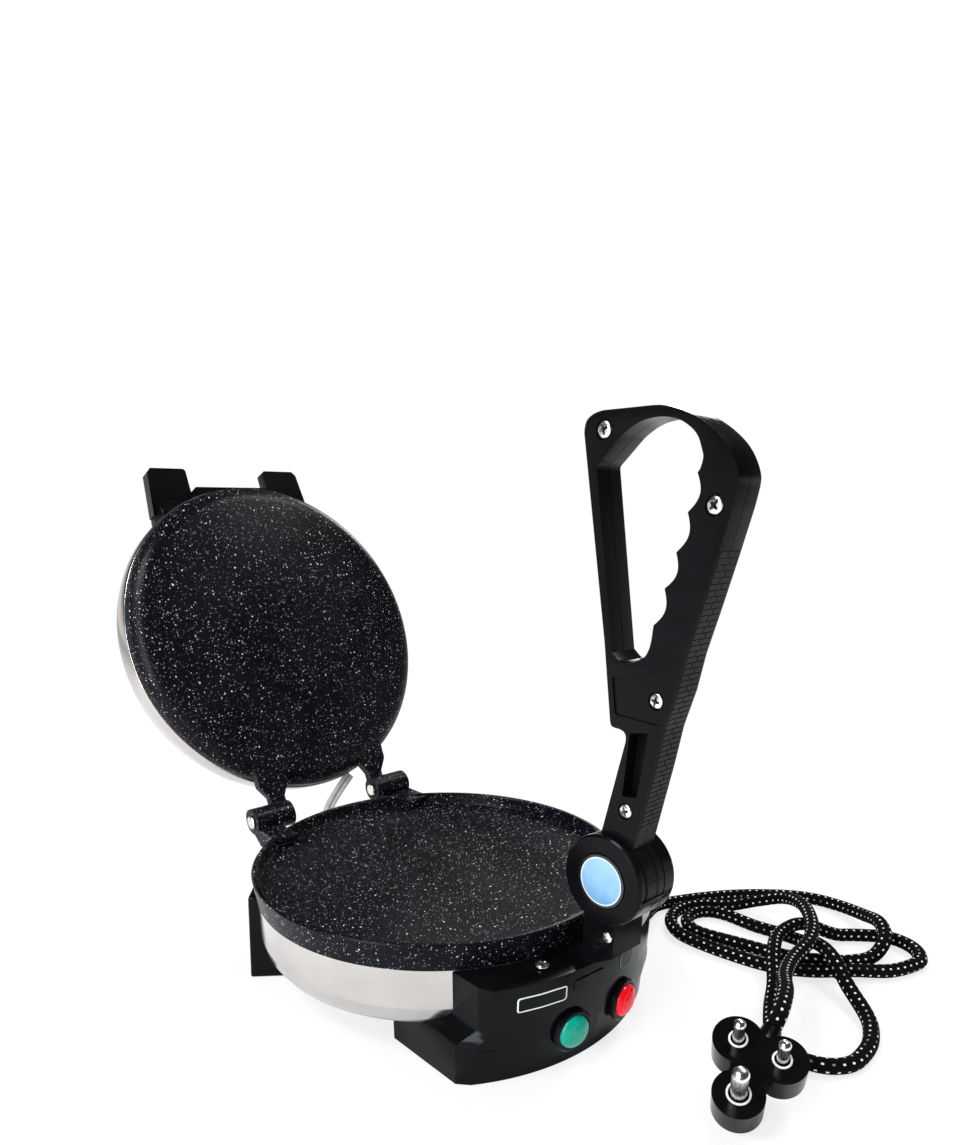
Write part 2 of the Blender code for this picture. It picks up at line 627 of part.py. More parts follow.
def screw(name, parent, material, seat, out, head_radius=SCREW_HEAD_RADIUS, head_height=SCREW_HEAD_HEIGHT,
          shank_radius=SCREW_SHANK_RADIUS, length=SCREW_LENGTH, offset=(0, 0, 0), domed=True):
    """A pan-head screw with a cross recess; its head sits on seat and faces out."""
    top = head_height
    if domed:
        profile = [(0, top), (head_radius * 0.65, top * 0.88), (head_radius, top * 0.25), (head_radius, 0)]
    else:
        profile = [(0, top), (head_radius, top), (head_radius, 0)]
    profile += [(shank_radius, 0), (shank_radius, -length), (0, -length)]
    item = turned(name, profile, SCREW_SEGMENTS)
    turn = Vector(out).to_track_quat("Z", "Y").to_matrix().to_4x4()
    place = Matrix.Translation(Vector(seat)) @ turn
    reach = head_radius * CROSS_LENGTH_SHARE / 2
    half = head_radius * CROSS_WIDTH_SHARE / 2
    tip = half * CROSS_TAPER_SHARE
    plus = [
        (reach, -tip), (reach, tip), (half, half), (tip, reach), (-tip, reach), (-half, half),
        (-reach, tip), (-reach, -tip), (-half, -half), (-tip, -reach), (tip, -reach), (half, -half),
    ]
    recess = slab(name + "_cross", [plus], top * (1 - CROSS_DEPTH_SHARE), top + CUT_OVERRUN, "XY")
    recess.matrix_world = place
    item.matrix_world = place
    add(recess, parent, None, offset)
    add(item, parent, material, offset)
    combine(item, recess)
    return item


def bowl_profile(extra):
    """The bowl's outside as a solid, grown by extra."""
    radius = BOWL_RADIUS + extra
    bottom = BOWL_BOTTOM - extra
    corner = BOWL_CORNER_RADIUS + extra
    rim = PLATE_RIM_TOP + CUT_OVERRUN
    return [(0, rim), (radius, rim)] + arc((radius - corner, bottom + corner), corner, 0, -90, 4) + [(0, bottom)]


def make_lower_plate(base, cast):
    floor = PLATE_RIM_TOP - RECESS_DEPTH
    under = floor - PLATE_FLOOR_THICKNESS
    recess = PLATE_RIM_RADIUS - PLATE_RIM_WALL
    skirt_inner = PLATE_SKIRT_RADIUS - PLATE_SKIRT_WALL
    stud_bottom = BOWL_BOTTOM + BOWL_WALL + SEAT_GAP
    edge = PLATE_RIM_EDGE
    profile = [(0, floor)]
    profile += arc((recess - RECESS_FILLET, floor + RECESS_FILLET), RECESS_FILLET, -90, 0, 2)
    profile += [(recess, PLATE_RIM_TOP - edge), (recess + edge, PLATE_RIM_TOP)]
    profile += [(PLATE_RIM_RADIUS - edge, PLATE_RIM_TOP), (PLATE_RIM_RADIUS, PLATE_RIM_TOP - edge)]
    profile += [(PLATE_SKIRT_RADIUS, PLATE_SKIRT_BOTTOM), (skirt_inner, PLATE_SKIRT_BOTTOM)]
    profile += [(skirt_inner, under), (PLATE_STUD_RADIUS, under), (PLATE_STUD_RADIUS, stud_bottom)]
    profile += [(CENTRE_SCREW_HOLE_RADIUS, stud_bottom)]
    profile += [(CENTRE_SCREW_HOLE_RADIUS, stud_bottom + CENTRE_SCREW_HOLE_DEPTH)]
    profile += [(0, stud_bottom + CENTRE_SCREW_HOLE_DEPTH)]
    plate = add(turned("lower_plate", profile), base, cast)
    web_root = math.sqrt(recess ** 2 - KNUCKLE_OUTER_X ** 2)
    for side, label in ((-1, "left"), (1, "right")):
        low = min(side * (KNUCKLE_SPLIT_X + KNUCKLE_SIDE_GAP), side * KNUCKLE_OUTER_X)
        high = max(side * (KNUCKLE_SPLIT_X + KNUCKLE_SIDE_GAP), side * KNUCKLE_OUTER_X)
        knuckle_end = 180 + math.degrees(math.asin((HINGE_Z - EAR_TOP) / KNUCKLE_RADIUS))
        knuckle = arc((HINGE_Y, HINGE_Z), KNUCKLE_RADIUS, -100, knuckle_end, 16)
        outline = knuckle + [(web_root, EAR_TOP), (web_root, EAR_BOTTOM), (HINGE_Y - KNUCKLE_RADIUS, EAR_BOTTOM)]
        ear = add(slab("ear_" + label, [outline], low, high, "YZ"), base)
        combine(plate, ear, "UNION")
    for side, label in ((-1, "left"), (1, "right")):
        bore = bar("ear_bore_" + label, (side * (KNUCKLE_SPLIT_X - CUT_OVERRUN), HINGE_Y, HINGE_Z),
                   (side * (KNUCKLE_OUTER_X + CUT_OVERRUN), HINGE_Y, HINGE_Z), PIN_RADIUS + PIN_CLEARANCE)
        add(bore, base)
        combine(plate, bore)
    return plate


def make_bowl(base, steel):
    corner = (BOWL_RADIUS - BOWL_CORNER_RADIUS, BOWL_BOTTOM + BOWL_CORNER_RADIUS)
    rim = PLATE_SKIRT_BOTTOM - SEAT_GAP
    inner = BOWL_CORNER_RADIUS - BOWL_WALL
    hole = CENTRE_SCREW_HOLE_RADIUS + SCREW_CLEARANCE
    profile = [(BOWL_RADIUS - BOWL_WALL, rim), (BOWL_RADIUS, rim)]
    profile += arc(corner, BOWL_CORNER_RADIUS, 0, -90, 4)
    profile += [(hole, BOWL_BOTTOM), (hole, BOWL_BOTTOM + BOWL_WALL)]
    profile += arc(corner, inner, -90, 0, 4)
    bowl = add(turned("bowl", profile, loop=True), base, steel)
    floor_low = BOWL_BOTTOM - CUT_OVERRUN
    floor_high = BOWL_BOTTOM + BOWL_WALL + CUT_OVERRUN
    hole = bar("bowl_wire_hole", (BOWL_WIRE_HOLE_X, BOWL_WIRE_HOLE_Y, floor_low),
               (BOWL_WIRE_HOLE_X, BOWL_WIRE_HOLE_Y, floor_high), BOWL_WIRE_HOLE_RADIUS)
    combine(bowl, add(hole, base))
    for label, centre in foot_screw_places():
        hole = bar("bowl_foot_hole_" + label, (*centre, floor_low), (*centre, floor_high),
                   FOOT_SCREW_SHANK_RADIUS + SCREW_CLEARANCE, SCREW_SEGMENTS)
        combine(bowl, add(hole, base))
    end = Vector(LID_LEAD_ROUTE[-1]) + Vector((0, HINGE_Y, HINGE_Z))
    hole = bar("bowl_lead_hole", end - Vector((0, BOWL_WALL + CUT_OVERRUN, 0)), end + Vector((0, CUT_OVERRUN, 0)),
               LID_LEAD_RADIUS - SEAT_GAP, SCREW_SEGMENTS)
    combine(bowl, add(hole, base))
    return bowl


def foot_screw_places():
    """The foot screws' places in plan."""
    places = []
    for side, label in ((1, "left"), (-1, "right")):
        angle = math.radians(FOOT_ANGLE)
        places.append((label, (side * FOOT_SCREW_RADIUS * math.cos(angle), FOOT_SCREW_RADIUS * math.sin(angle))))
    return places


def make_feet(base, plastic, nickel):
    grown = SEAT_GAP
    for side, label in ((1, "left"), (-1, "right")):
        angle = math.radians(FOOT_ANGLE)
        radial = Vector((side * math.cos(angle), math.sin(angle), 0))
        up = Vector((0, 0, 1))
        across = radial.cross(up)
        turn = Matrix((radial, up, across)).transposed()
        tongue_top = BOWL_BOTTOM - FOOT_TONGUE_TOP_GAP
        outline = [
            (FOOT_INNER_RADIUS, 0), (FOOT_OUTER_RADIUS, 0), (FOOT_TOP_RADIUS, FOOT_TOP),
            (BOWL_RADIUS - BOWL_CORNER_RADIUS, FOOT_TOP), (BOWL_RADIUS - BOWL_CORNER_RADIUS, tongue_top),
            (FOOT_INNER_RADIUS, tongue_top),
        ]
        foot = slab("rear_foot_" + label, [outline], -FOOT_HALF_WIDTH, FOOT_HALF_WIDTH, turn)
        add(foot, base, plastic)
        soften(foot, HANDLE_EDGE_ROUNDING)
        shape = add(turned("foot_bowl_cut_" + label, bowl_profile(grown)), base)
        combine(foot, shape)
        centre = dict(foot_screw_places())[label]
        head_seat = FOOT_SCREW_RECESS
        clear = SCREW_CLEARANCE
        recess = bar("foot_recess_" + label, (*centre, -CUT_OVERRUN), (*centre, head_seat),
                     FOOT_SCREW_HEAD_RADIUS + clear, SMALL_SEGMENTS)
        combine(foot, add(recess, base))
        hole = bar("foot_hole_" + label, (*centre, 0), (*centre, BOWL_BOTTOM + CUT_OVERRUN),
                   FOOT_SCREW_SHANK_RADIUS + clear, SCREW_SEGMENTS)
        combine(foot, add(hole, base))
        length = BOWL_BOTTOM + BOWL_WALL + BOWL_WALL - head_seat
        screw("foot_screw_" + label, base, nickel, (*centre, head_seat - SEAT_GAP), (0, 0, -1),
              FOOT_SCREW_HEAD_RADIUS, FOOT_SCREW_HEAD_HEIGHT, FOOT_SCREW_SHANK_RADIUS, length)


def box_plan(half_back, half_side, side_y, half_front, front_radius, inset):
    """The control box's outline at one level: its back, its sides and its curved front."""
    radius = front_radius - inset
    reach = half_front - inset
    half_angle = math.degrees(math.asin(reach / radius))
    points = [(half_back - inset, BOX_BACK_Y - inset), (half_back * -1 + inset, BOX_BACK_Y - inset)]
    points += [(-(half_side - inset), side_y)]
    points += arc((0, 0), radius, -90 - half_angle, -90 + half_angle, BOX_ARC_STEPS)
    points += [(half_side - inset, side_y)]
    return points


def box_sections(inset, bottom, top):
    """The box's outlines from its foot to its top, drawn in by inset."""
    foot = BOX_FRONT_RADIUS * BOX_FOOT_RADIUS_SHARE
    head = BOX_FRONT_RADIUS * BOX_TOP_RADIUS_SHARE
    lower = (BOX_SIDE_X, BOX_SIDE_X, BOX_LOWER_SIDE_Y, BOX_FRONT_X)
    upper = (BOX_UPPER_X, BOX_UPPER_X, BOX_UPPER_SIDE_Y, BOX_UPPER_X - BOX_WALL)
    sections = [(bottom, box_plan(*lower, foot, inset)), (BOX_COVER_THICKNESS * 2, box_plan(*lower, foot, inset))]
    for bend in range(BOX_STEP_BENDS + 1):
        climb = bend / BOX_STEP_BENDS
        drawn_in = (1 - math.cos(math.pi * climb)) / 2
        plan = [low + (high - low) * drawn_in for low, high in zip(lower, upper)]
        level = BOX_STEP_LOW + BOX_STEP_HEIGHT * climb - inset
        sections.append((level, box_plan(*plan, BOX_FRONT_RADIUS, inset)))
    return sections + [(top, box_plan(*upper, head, inset))]


def box_screw_places():
    """The cover screws' places in plan."""
    places = []
    for side, label in ((-1, "left"), (1, "right")):
        places.append(("rear_" + label, (side * BOX_REAR_SCREW_X, BOX_REAR_SCREW_Y)))
        places.append(("front_" + label, (side * BOX_FRONT_SCREW_X, BOX_FRONT_SCREW_Y)))
    return places


def lamp_direction(side):
    """The outward direction of a lamp."""
    angle = math.radians(LAMP_ANGLE)
    return Vector((side * math.sin(angle), -math.cos(angle), 0))


def make_box(base, plastic, dark, nickel, brass):
    box = add(loft("control_box", box_sections(0, 0, BOX_TOP)), base, plastic)
    bowl_cut = add(turned("box_bowl_cut", bowl_profile(SEAT_GAP)), base)
    combine(box, bowl_cut)
    cavity = add(loft("box_cavity", box_sections(BOX_WALL, -CUT_OVERRUN, BOX_TOP - BOX_WALL)), base)
    keep = add(turned("box_bowl_wall", bowl_profile(SEAT_GAP + BOX_WALL)), base)
    combine(cavity, keep)
    for label, centre in box_screw_places():
        boss = bar("box_boss_" + label, (*centre, BOX_COVER_THICKNESS + SEAT_GAP), (*centre, BOX_TOP), BOX_BOSS_RADIUS,
                   SCREW_SEGMENTS)
        combine(cavity, add(boss, base))
    combine(box, cavity)
    for label, centre in box_screw_places():
        hole = bar("box_boss_hole_" + label, (*centre, 0),
                   (*centre, BOX_COVER_THICKNESS + BOX_SCREW_LENGTH + SEAT_GAP), BOX_BOSS_HOLE_RADIUS, SCREW_SEGMENTS)
        combine(box, add(hole, base))
    for side, label in ((-1, "green"), (1, "red")):
        out = lamp_direction(side)
        middle = out * BOX_FRONT_RADIUS + Vector((0, 0, LAMP_Z))
        hole = bar("lamp_hole_" + label, middle - out * BEZEL_RADIUS, middle + out * BEZEL_RADIUS,
                   LENS_RADIUS + BEZEL_SLEEVE_WALL + SEAT_GAP)
        combine(box, add(hole, base))
    wire = bar("box_wire_hole", (BOWL_WIRE_HOLE_X, BOWL_WIRE_HOLE_Y, BOX_COVER_THICKNESS + TERMINAL_HEIGHT),
               (BOWL_WIRE_HOLE_X, BOWL_WIRE_HOLE_Y, BOWL_BOTTOM + CUT_OVERRUN), BOWL_WIRE_HOLE_RADIUS)
    combine(box, add(wire, base))
    relief = bar("box_relief_hole", (BOX_SIDE_X - BOX_WALL * 2, RELIEF_Y, RELIEF_Z),
                 (BOX_SIDE_X + BOX_WALL, RELIEF_Y, RELIEF_Z), RELIEF_GROOVE_RADIUS + SEAT_GAP)
    combine(box, add(relief, base))
    for side, label in ((-1, "left"), (1, "right")):
        place = (side * SHOULDER_SCREW_X, SHOULDER_SCREW_Y, BOX_TOP)
        low = (place[0], place[1], BOX_TOP - BOX_WALL - CUT_OVERRUN)
        high = (place[0], place[1], BOX_TOP + CUT_OVERRUN)
        hole = bar("shoulder_hole_" + label, low, high, SCREW_SHANK_RADIUS + SCREW_CLEARANCE, SCREW_SEGMENTS)
        combine(box, add(hole, base))
        screw("shoulder_screw_" + label, base, nickel, (*place[:2], BOX_TOP + SEAT_GAP), (0, 0, 1))
    for side, label in ((-1, "left"), (1, "right")):
        low = (side * FOOT_BOLT_X, FOOT_BOLT_Y, BOX_TOP - BOX_WALL - CUT_OVERRUN)
        high = (side * FOOT_BOLT_X, FOOT_BOLT_Y, BOX_TOP + CUT_OVERRUN)
        hole = bar("bracket_hole_" + label, low, high, SCREW_SHANK_RADIUS + SCREW_CLEARANCE, SCREW_SEGMENTS)
        combine(box, add(hole, base))

    inset = BOX_WALL + SEAT_GAP
    plan = box_plan(BOX_SIDE_X, BOX_SIDE_X, BOX_LOWER_SIDE_Y, BOX_FRONT_X,
                    BOX_FRONT_RADIUS * BOX_FOOT_RADIUS_SHARE, inset)
    cover = add(loft("box_cover", [(0, plan), (BOX_COVER_THICKNESS, plan)]), base, dark)
    for label, centre in box_screw_places():
        seat = BOX_SCREW_HEAD_HEIGHT + SEAT_GAP
        sink = bar("cover_sink_" + label, (*centre, -CUT_OVERRUN), (*centre, seat),
                   BOX_SCREW_HEAD_RADIUS + SCREW_CLEARANCE, SCREW_SEGMENTS)
        hole = bar("cover_hole_" + label, (*centre, seat / 2), (*centre, BOX_COVER_THICKNESS + CUT_OVERRUN),
                   BOX_SCREW_SHANK_RADIUS + SCREW_CLEARANCE, SCREW_SEGMENTS)
        combine(cover, add(sink, base))
        combine(cover, add(hole, base))
        screw("cover_screw_" + label, base, nickel, (*centre, seat - SEAT_GAP), (0, 0, -1), BOX_SCREW_HEAD_RADIUS,
              BOX_SCREW_HEAD_HEIGHT - SEAT_GAP, BOX_SCREW_SHANK_RADIUS, BOX_SCREW_LENGTH, domed=False)
    low_z = BOX_COVER_THICKNESS + SEAT_GAP
    terminal = block("terminal_block", (-TERMINAL_WIDTH / 2, TERMINAL_Y - TERMINAL_DEPTH / 2, low_z),
                     (TERMINAL_WIDTH / 2, TERMINAL_Y + TERMINAL_DEPTH / 2, low_z + TERMINAL_HEIGHT))
    add(terminal, base, brass)


def make_lamps(base, plastic, lenses, glass):
    for side, label in ((-1, "green"), (1, "red")):
        out = lamp_direction(side)
        front = out * BOX_FRONT_RADIUS + Vector((0, 0, LAMP_Z))
        turn = out.to_track_quat("Z", "Y").to_matrix().to_4x4()
        place = Matrix.Translation(front) @ turn
        sleeve = LENS_RADIUS + BEZEL_SLEEVE_WALL
        bore = LENS_RADIUS + SEAT_GAP
        flange_back = SEAT_GAP * 2
        flange_front = flange_back + BEZEL_FLANGE
        profile = [
            (bore, flange_front), (BEZEL_RADIUS - BEZEL_FLANGE / 2, flange_front),
            (BEZEL_RADIUS, flange_front - BEZEL_FLANGE / 2), (BEZEL_RADIUS, flange_back), (sleeve, flange_back),
            (sleeve, -BEZEL_SLEEVE_LENGTH), (bore, -BEZEL_SLEEVE_LENGTH),
        ]
        bezel = turned(label + "_lamp_bezel", profile, SMALL_SEGMENTS, loop=True)
        bezel.matrix_world = place
        add(bezel, base, plastic)
        dome = [(0, flange_front + LENS_DOME_HEIGHT)]
        for step in (1, 2, 3, 4):
            angle = math.radians(90 - step * 18)
            dome.append((LENS_RADIUS * math.cos(angle), flange_front + LENS_DOME_HEIGHT * math.sin(angle)))
        dome += [(LENS_RADIUS, flange_front), (LENS_RADIUS, -LENS_STEM_LENGTH), (0, -LENS_STEM_LENGTH)]
        lens = turned(label + "_lamp_lens", dome, SMALL_SEGMENTS)
        lens.matrix_world = place
        add(lens, base, lenses[label])
        back = LENS_STEM_LENGTH + SEAT_GAP
        neon = bar(label + "_neon_lamp", front - out * back, front - out * (back + NEON_LENGTH), NEON_RADIUS,
                   SCREW_SEGMENTS)
        add(neon, base, glass)


def rod(name, points, radius, resolution=1):
    """A round rod along a line of points."""
    data = bpy.data.curves.new(name, "CURVE")
    data.dimensions = "3D"
    data.bevel_depth = radius
    data.bevel_resolution = resolution
    data.use_fill_caps = True
    spline = data.splines.new("POLY")
    spline.points.add(len(points) - 1)
    for point, place in zip(spline.points, points):
        point.co = (*place, 1)
    return bpy.data.objects.new(name, data)


def element_points(top, leg_end):
    """The rod's middle: a leg, nearly a full ring and a second leg."""
    open_angle = math.degrees(math.asin(ELEMENT_LEG_X / ELEMENT_RING_RADIUS))
    ring = arc((0, 0), ELEMENT_RING_RADIUS, -90 + open_angle, 270 - open_angle, 30)
    points = [(*ring[0], leg_end)]
    points += [(x, y, top) for x, y in ring]
    points += [(*ring[-1], leg_end)]
    return points


def hexagon(radius):
    return arc((0, 0), radius, 0, 300, 5)


def make_heater(label, parent, offset, plate_side, direction, stud_radius, black, steel, nickel):
    """A heating rod, its clamp disc and its nut; direction points away from the plate."""
    rod_z = plate_side + direction * (SEAT_GAP + ELEMENT_ROD_RADIUS)
    leg_end = rod_z + direction * ELEMENT_LEG_LENGTH
    element = meshed(rod(label + "_heating_element", element_points(rod_z, leg_end), ELEMENT_ROD_RADIUS))
    add(element, parent, black, offset)
    near = rod_z + direction * (ELEMENT_ROD_RADIUS + SEAT_GAP)
    far = near + direction * CLAMP_THICKNESS
    hole = arc((0, 0), stud_radius + CLAMP_HOLE_CLEARANCE, 0, 337.5, 15)
    leg_y = -math.sqrt(ELEMENT_RING_RADIUS ** 2 - ELEMENT_LEG_X ** 2)
    slots = [arc((side * ELEMENT_LEG_X, leg_y), ELEMENT_ROD_RADIUS + CLAMP_HOLE_CLEARANCE * 2, 0, 337.5, 15)
             for side in (-1, 1)]
    disc = arc((0, 0), CLAMP_RADIUS, 0, 352.5, 47)
    clamp = slab(label + "_element_clamp", [disc, hole, *slots], min(near, far), max(near, far), "XY")
    add(clamp, parent, steel, offset)
    start = far + direction * SEAT_GAP
    stop = start + direction * CLAMP_NUT_HEIGHT
    nut = slab(label + "_clamp_nut", [hexagon(CLAMP_NUT_RADIUS), arc((0, 0), stud_radius + SEAT_GAP, 0, 337.5, 15)],
               min(start, stop), max(start, stop), "XY")
    add(nut, parent, nickel, offset)
    return far


def make_centre_screw(base, nickel):
    screw("bowl_centre_screw", base, nickel, (0, 0, BOWL_BOTTOM - SEAT_GAP), (0, 0, -1),
          shank_radius=CENTRE_SCREW_HOLE_RADIUS - SCREW_CLEARANCE, length=CENTRE_SCREW_HOLE_DEPTH - SCREW_CLEARANCE,
          head_radius=SCREW_HEAD_RADIUS * 1.4)


def make_pins(base, nickel):
    for side, label in ((-1, "left"), (1, "right")):
        outer = KNUCKLE_OUTER_X + SEAT_GAP
        inner = KNUCKLE_INNER_X - SEAT_GAP
        head = PIN_HEAD_THICKNESS
        profile = [
            (0, outer + head - PIN_DIMPLE_DEPTH), (PIN_DIMPLE_RADIUS, outer + head - PIN_DIMPLE_DEPTH),
            (PIN_DIMPLE_RADIUS * 1.2, outer + head), (PIN_HEAD_RADIUS * 0.85, outer + head),
            (PIN_HEAD_RADIUS, outer + head * 0.4), (PIN_HEAD_RADIUS, outer), (PIN_RADIUS, outer), (PIN_RADIUS, inner),
            (PIN_HEAD_RADIUS, inner), (PIN_HEAD_RADIUS * 0.9, inner - head), (0, inner - head),
        ]
        pin = turned("hinge_pin_" + label, profile, SCREW_SEGMENTS)
        turn = Vector((side, 0, 0)).to_track_quat("Z", "Y").to_matrix().to_4x4()
        pin.matrix_world = Matrix.Translation((0, HINGE_Y, HINGE_Z)) @ turn
        add(pin, base, nickel)


def make_lid(lid, cast, steel, plastic, black, nickel):
    offset = (0, -HINGE_Y, -HINGE_Z)
    rounding = LID_PLATE_ROUNDING
    rim_top = LID_FACE_Z + rounding
    inner_floor = LID_FACE_Z + LID_PLATE_THICKNESS
    inner_radius = LID_PLATE_RADIUS - LID_PLATE_WALL
    stud_top = COVER_TOP - COVER_WALL - SEAT_GAP
    profile = [(0, stud_top - CENTRE_SCREW_HOLE_DEPTH), (CENTRE_SCREW_HOLE_RADIUS, stud_top - CENTRE_SCREW_HOLE_DEPTH)]
    profile += [(CENTRE_SCREW_HOLE_RADIUS, stud_top), (PLATE_STUD_RADIUS, stud_top), (PLATE_STUD_RADIUS, inner_floor)]
    profile += [(inner_radius - LID_PLATE_THICKNESS, inner_floor), (inner_radius, rim_top - SEAT_GAP)]
    profile += [(inner_radius, rim_top), (LID_PLATE_RADIUS, rim_top)]
    profile += arc((LID_PLATE_RADIUS - rounding, rim_top), rounding, 0, -90, 4)[1:]
    profile += [(0, LID_FACE_Z)]
    plate = add(turned("upper_plate", profile), lid, cast, offset)
    bottom = PLATE_RIM_TOP + SEAT_GAP * 3
    for side, label in ((-1, "left"), (1, "right")):
        outline = [
            (side * ARM_ROOT_INNER_X, ARM_ROOT_Y), (side * ARM_ROOT_OUTER_X, ARM_ROOT_Y),
            (side * ARM_ROOT_OUTER_X, ARM_FLARE_Y - KNUCKLE_RADIUS), (side * KNUCKLE_SPLIT_X, ARM_FLARE_Y),
            (side * KNUCKLE_SPLIT_X, HINGE_Y), (side * ARM_INNER_X, HINGE_Y), (side * ARM_INNER_X, ARM_FLARE_Y),
            (side * ARM_ROOT_INNER_X, ARM_FLARE_Y - KNUCKLE_RADIUS),
        ]
        arm = add(slab("lid_arm_" + label, [outline], bottom, bottom + ARM_THICKNESS, "XY"), lid, None, offset)
        combine(plate, arm, "UNION")
        knuckle = bar("lid_knuckle_" + label, (side * KNUCKLE_INNER_X, HINGE_Y, HINGE_Z),
                      (side * KNUCKLE_SPLIT_X, HINGE_Y, HINGE_Z), KNUCKLE_RADIUS)
        add(knuckle, lid, None, offset)
        combine(plate, knuckle, "UNION")
    for side, label in ((-1, "left"), (1, "right")):
        bore = bar("lid_bore_" + label, (side * (KNUCKLE_INNER_X - CUT_OVERRUN), HINGE_Y, HINGE_Z),
                   (side * (KNUCKLE_SPLIT_X + CUT_OVERRUN), HINGE_Y, HINGE_Z), PIN_RADIUS + PIN_CLEARANCE)
        add(bore, lid, None, offset)
        combine(plate, bore)

    lip = rim_top + SEAT_GAP
    lip_corner = (COVER_RADIUS - COVER_LIP_ROUNDING, lip + COVER_LIP_ROUNDING)
    top_corner = (COVER_RADIUS - COVER_CORNER_RADIUS, COVER_TOP - COVER_CORNER_RADIUS)
    hole = CENTRE_SCREW_HOLE_RADIUS + SCREW_CLEARANCE
    profile = [(hole, COVER_TOP)]
    profile += arc(top_corner, COVER_CORNER_RADIUS, 90, 0, 4)
    profile += arc(lip_corner, COVER_LIP_ROUNDING, 0, -90, 2)
    profile += [(COVER_RADIUS - COVER_LIP_WIDTH, lip), (COVER_RADIUS - COVER_LIP_WIDTH, lip + COVER_WALL)]
    profile += [(COVER_RADIUS - COVER_WALL - COVER_LIP_ROUNDING, lip + COVER_WALL)]
    profile += [(COVER_RADIUS - COVER_WALL, lip + COVER_WALL + COVER_LIP_ROUNDING)]
    profile += arc(top_corner, COVER_CORNER_RADIUS - COVER_WALL, 0, 90, 4)
    profile += [(hole, COVER_TOP - COVER_WALL)]
    cover = add(turned("lid_cover", profile, loop=True), lid, steel, offset)
    notch_low = lip - CUT_OVERRUN
    arm_top = bottom + ARM_THICKNESS
    for side, label in ((-1, "left"), (1, "right")):
        inner = min(side * (ARM_ROOT_INNER_X - SEAT_GAP), side * (ARM_ROOT_OUTER_X + SEAT_GAP))
        outer = max(side * (ARM_ROOT_INNER_X - SEAT_GAP), side * (ARM_ROOT_OUTER_X + SEAT_GAP))
        notch = block("cover_notch_" + label, (inner, ARM_ROOT_Y - SEAT_GAP, notch_low),
                      (outer, HINGE_Y, arm_top + SEAT_GAP))
        add(notch, lid, None, offset)
        if arm_top + SEAT_GAP > lip:
            combine(cover, notch)
        place = (side * LEG_SCREW_X, LEG_SCREW_Y)
        hole = bar("cover_hole_" + label, (*place, COVER_TOP - COVER_WALL - CUT_OVERRUN),
                   (*place, COVER_TOP + CUT_OVERRUN), SCREW_SHANK_RADIUS + SCREW_CLEARANCE, SCREW_SEGMENTS)
        add(hole, lid, None, offset)
        combine(cover, hole)

    far = make_heater("upper", lid, offset, inner_floor, 1, PLATE_STUD_RADIUS, black, steel, nickel)
    screw("lid_centre_screw", lid, nickel, (0, 0, COVER_TOP + SEAT_GAP), (0, 0, 1),
          shank_radius=CENTRE_SCREW_HOLE_RADIUS - SCREW_CLEARANCE, length=CENTRE_SCREW_HOLE_DEPTH - SCREW_CLEARANCE,
          head_radius=SCREW_HEAD_RADIUS * 1.4, offset=offset)

    chamfer = HORN_TIP_CHAMFER
    leg_top = COVER_TOP + SEAT_GAP + LEG_THICKNESS
    cross_back = CROSSBAR_TIP_Y + COVER_CORNER_RADIUS
    bracket = block("press_bracket", (-HORN_INNER_X, CROSSBAR_TIP_Y, CROSSBAR_BOTTOM),
                    (HORN_INNER_X, cross_back, CROSSBAR_TOP))
    add(bracket, lid, plastic, offset)
    for side, label in ((-1, "left"), (1, "right")):
        horn_plan = [
            (side * CROSSBAR_HALF_WIDTH, cross_back), (side * HORN_ROOT_OUTER_X, cross_back),
            (side * HORN_OUTER_X, HORN_TIP_Y + chamfer), (side * (HORN_OUTER_X - chamfer), HORN_TIP_Y),
            (side * (HORN_INNER_X + chamfer / 2), HORN_TIP_Y), (side * HORN_INNER_X, HORN_TIP_Y + chamfer / 2),
            (side * HORN_INNER_X, CROSSBAR_TIP_Y + chamfer), (side * CROSSBAR_HALF_WIDTH, CROSSBAR_TIP_Y + chamfer),
        ]
        horn = slab("horn_" + label, [horn_plan], HORN_BOTTOM, HORN_TOP, "XY")
        add(horn, lid, None, offset)
        combine(bracket, horn, "UNION")
        leg_outline = [
            (CROSSBAR_TIP_Y + chamfer, HORN_BOTTOM + chamfer), (CROSSBAR_TIP_Y + chamfer, HORN_TOP),
            (cross_back, leg_top), (LEG_BACK_Y, leg_top), (LEG_BACK_Y, CROSSBAR_TOP), (cross_back, CROSSBAR_BOTTOM),
        ]
        low = min(side * HORN_INNER_X, side * HORN_OUTER_X)
        high = max(side * HORN_INNER_X, side * HORN_OUTER_X)
        leg = slab("leg_" + label, [leg_outline], low, high, "YZ")
        add(leg, lid, None, offset)
        combine(bracket, leg, "UNION")
    shape = [(0, COVER_TOP + SEAT_GAP), (COVER_RADIUS - COVER_CORNER_RADIUS, COVER_TOP + SEAT_GAP)]
    shape += arc(top_corner, COVER_CORNER_RADIUS + SEAT_GAP, 90, 0, 4)[1:]
    shape += [(COVER_RADIUS + SEAT_GAP, LID_FACE_Z), (0, LID_FACE_Z)]
    hug = add(turned("bracket_cover_cut", shape), lid, None, offset)
    combine(bracket, hug)
    for side, label in ((-1, "left"), (1, "right")):
        place = (side * LEG_SCREW_X, LEG_SCREW_Y)
        hole = bar("bracket_hole_" + label, (*place, COVER_TOP - CUT_OVERRUN), (*place, leg_top + CUT_OVERRUN),
                   SCREW_SHANK_RADIUS + SCREW_CLEARANCE, SCREW_SEGMENTS)
        add(hole, lid, None, offset)
        combine(bracket, hole)
        screw("press_bracket_screw_" + label, lid, nickel, (*place, leg_top + SEAT_GAP), (0, 0, 1), offset=offset)


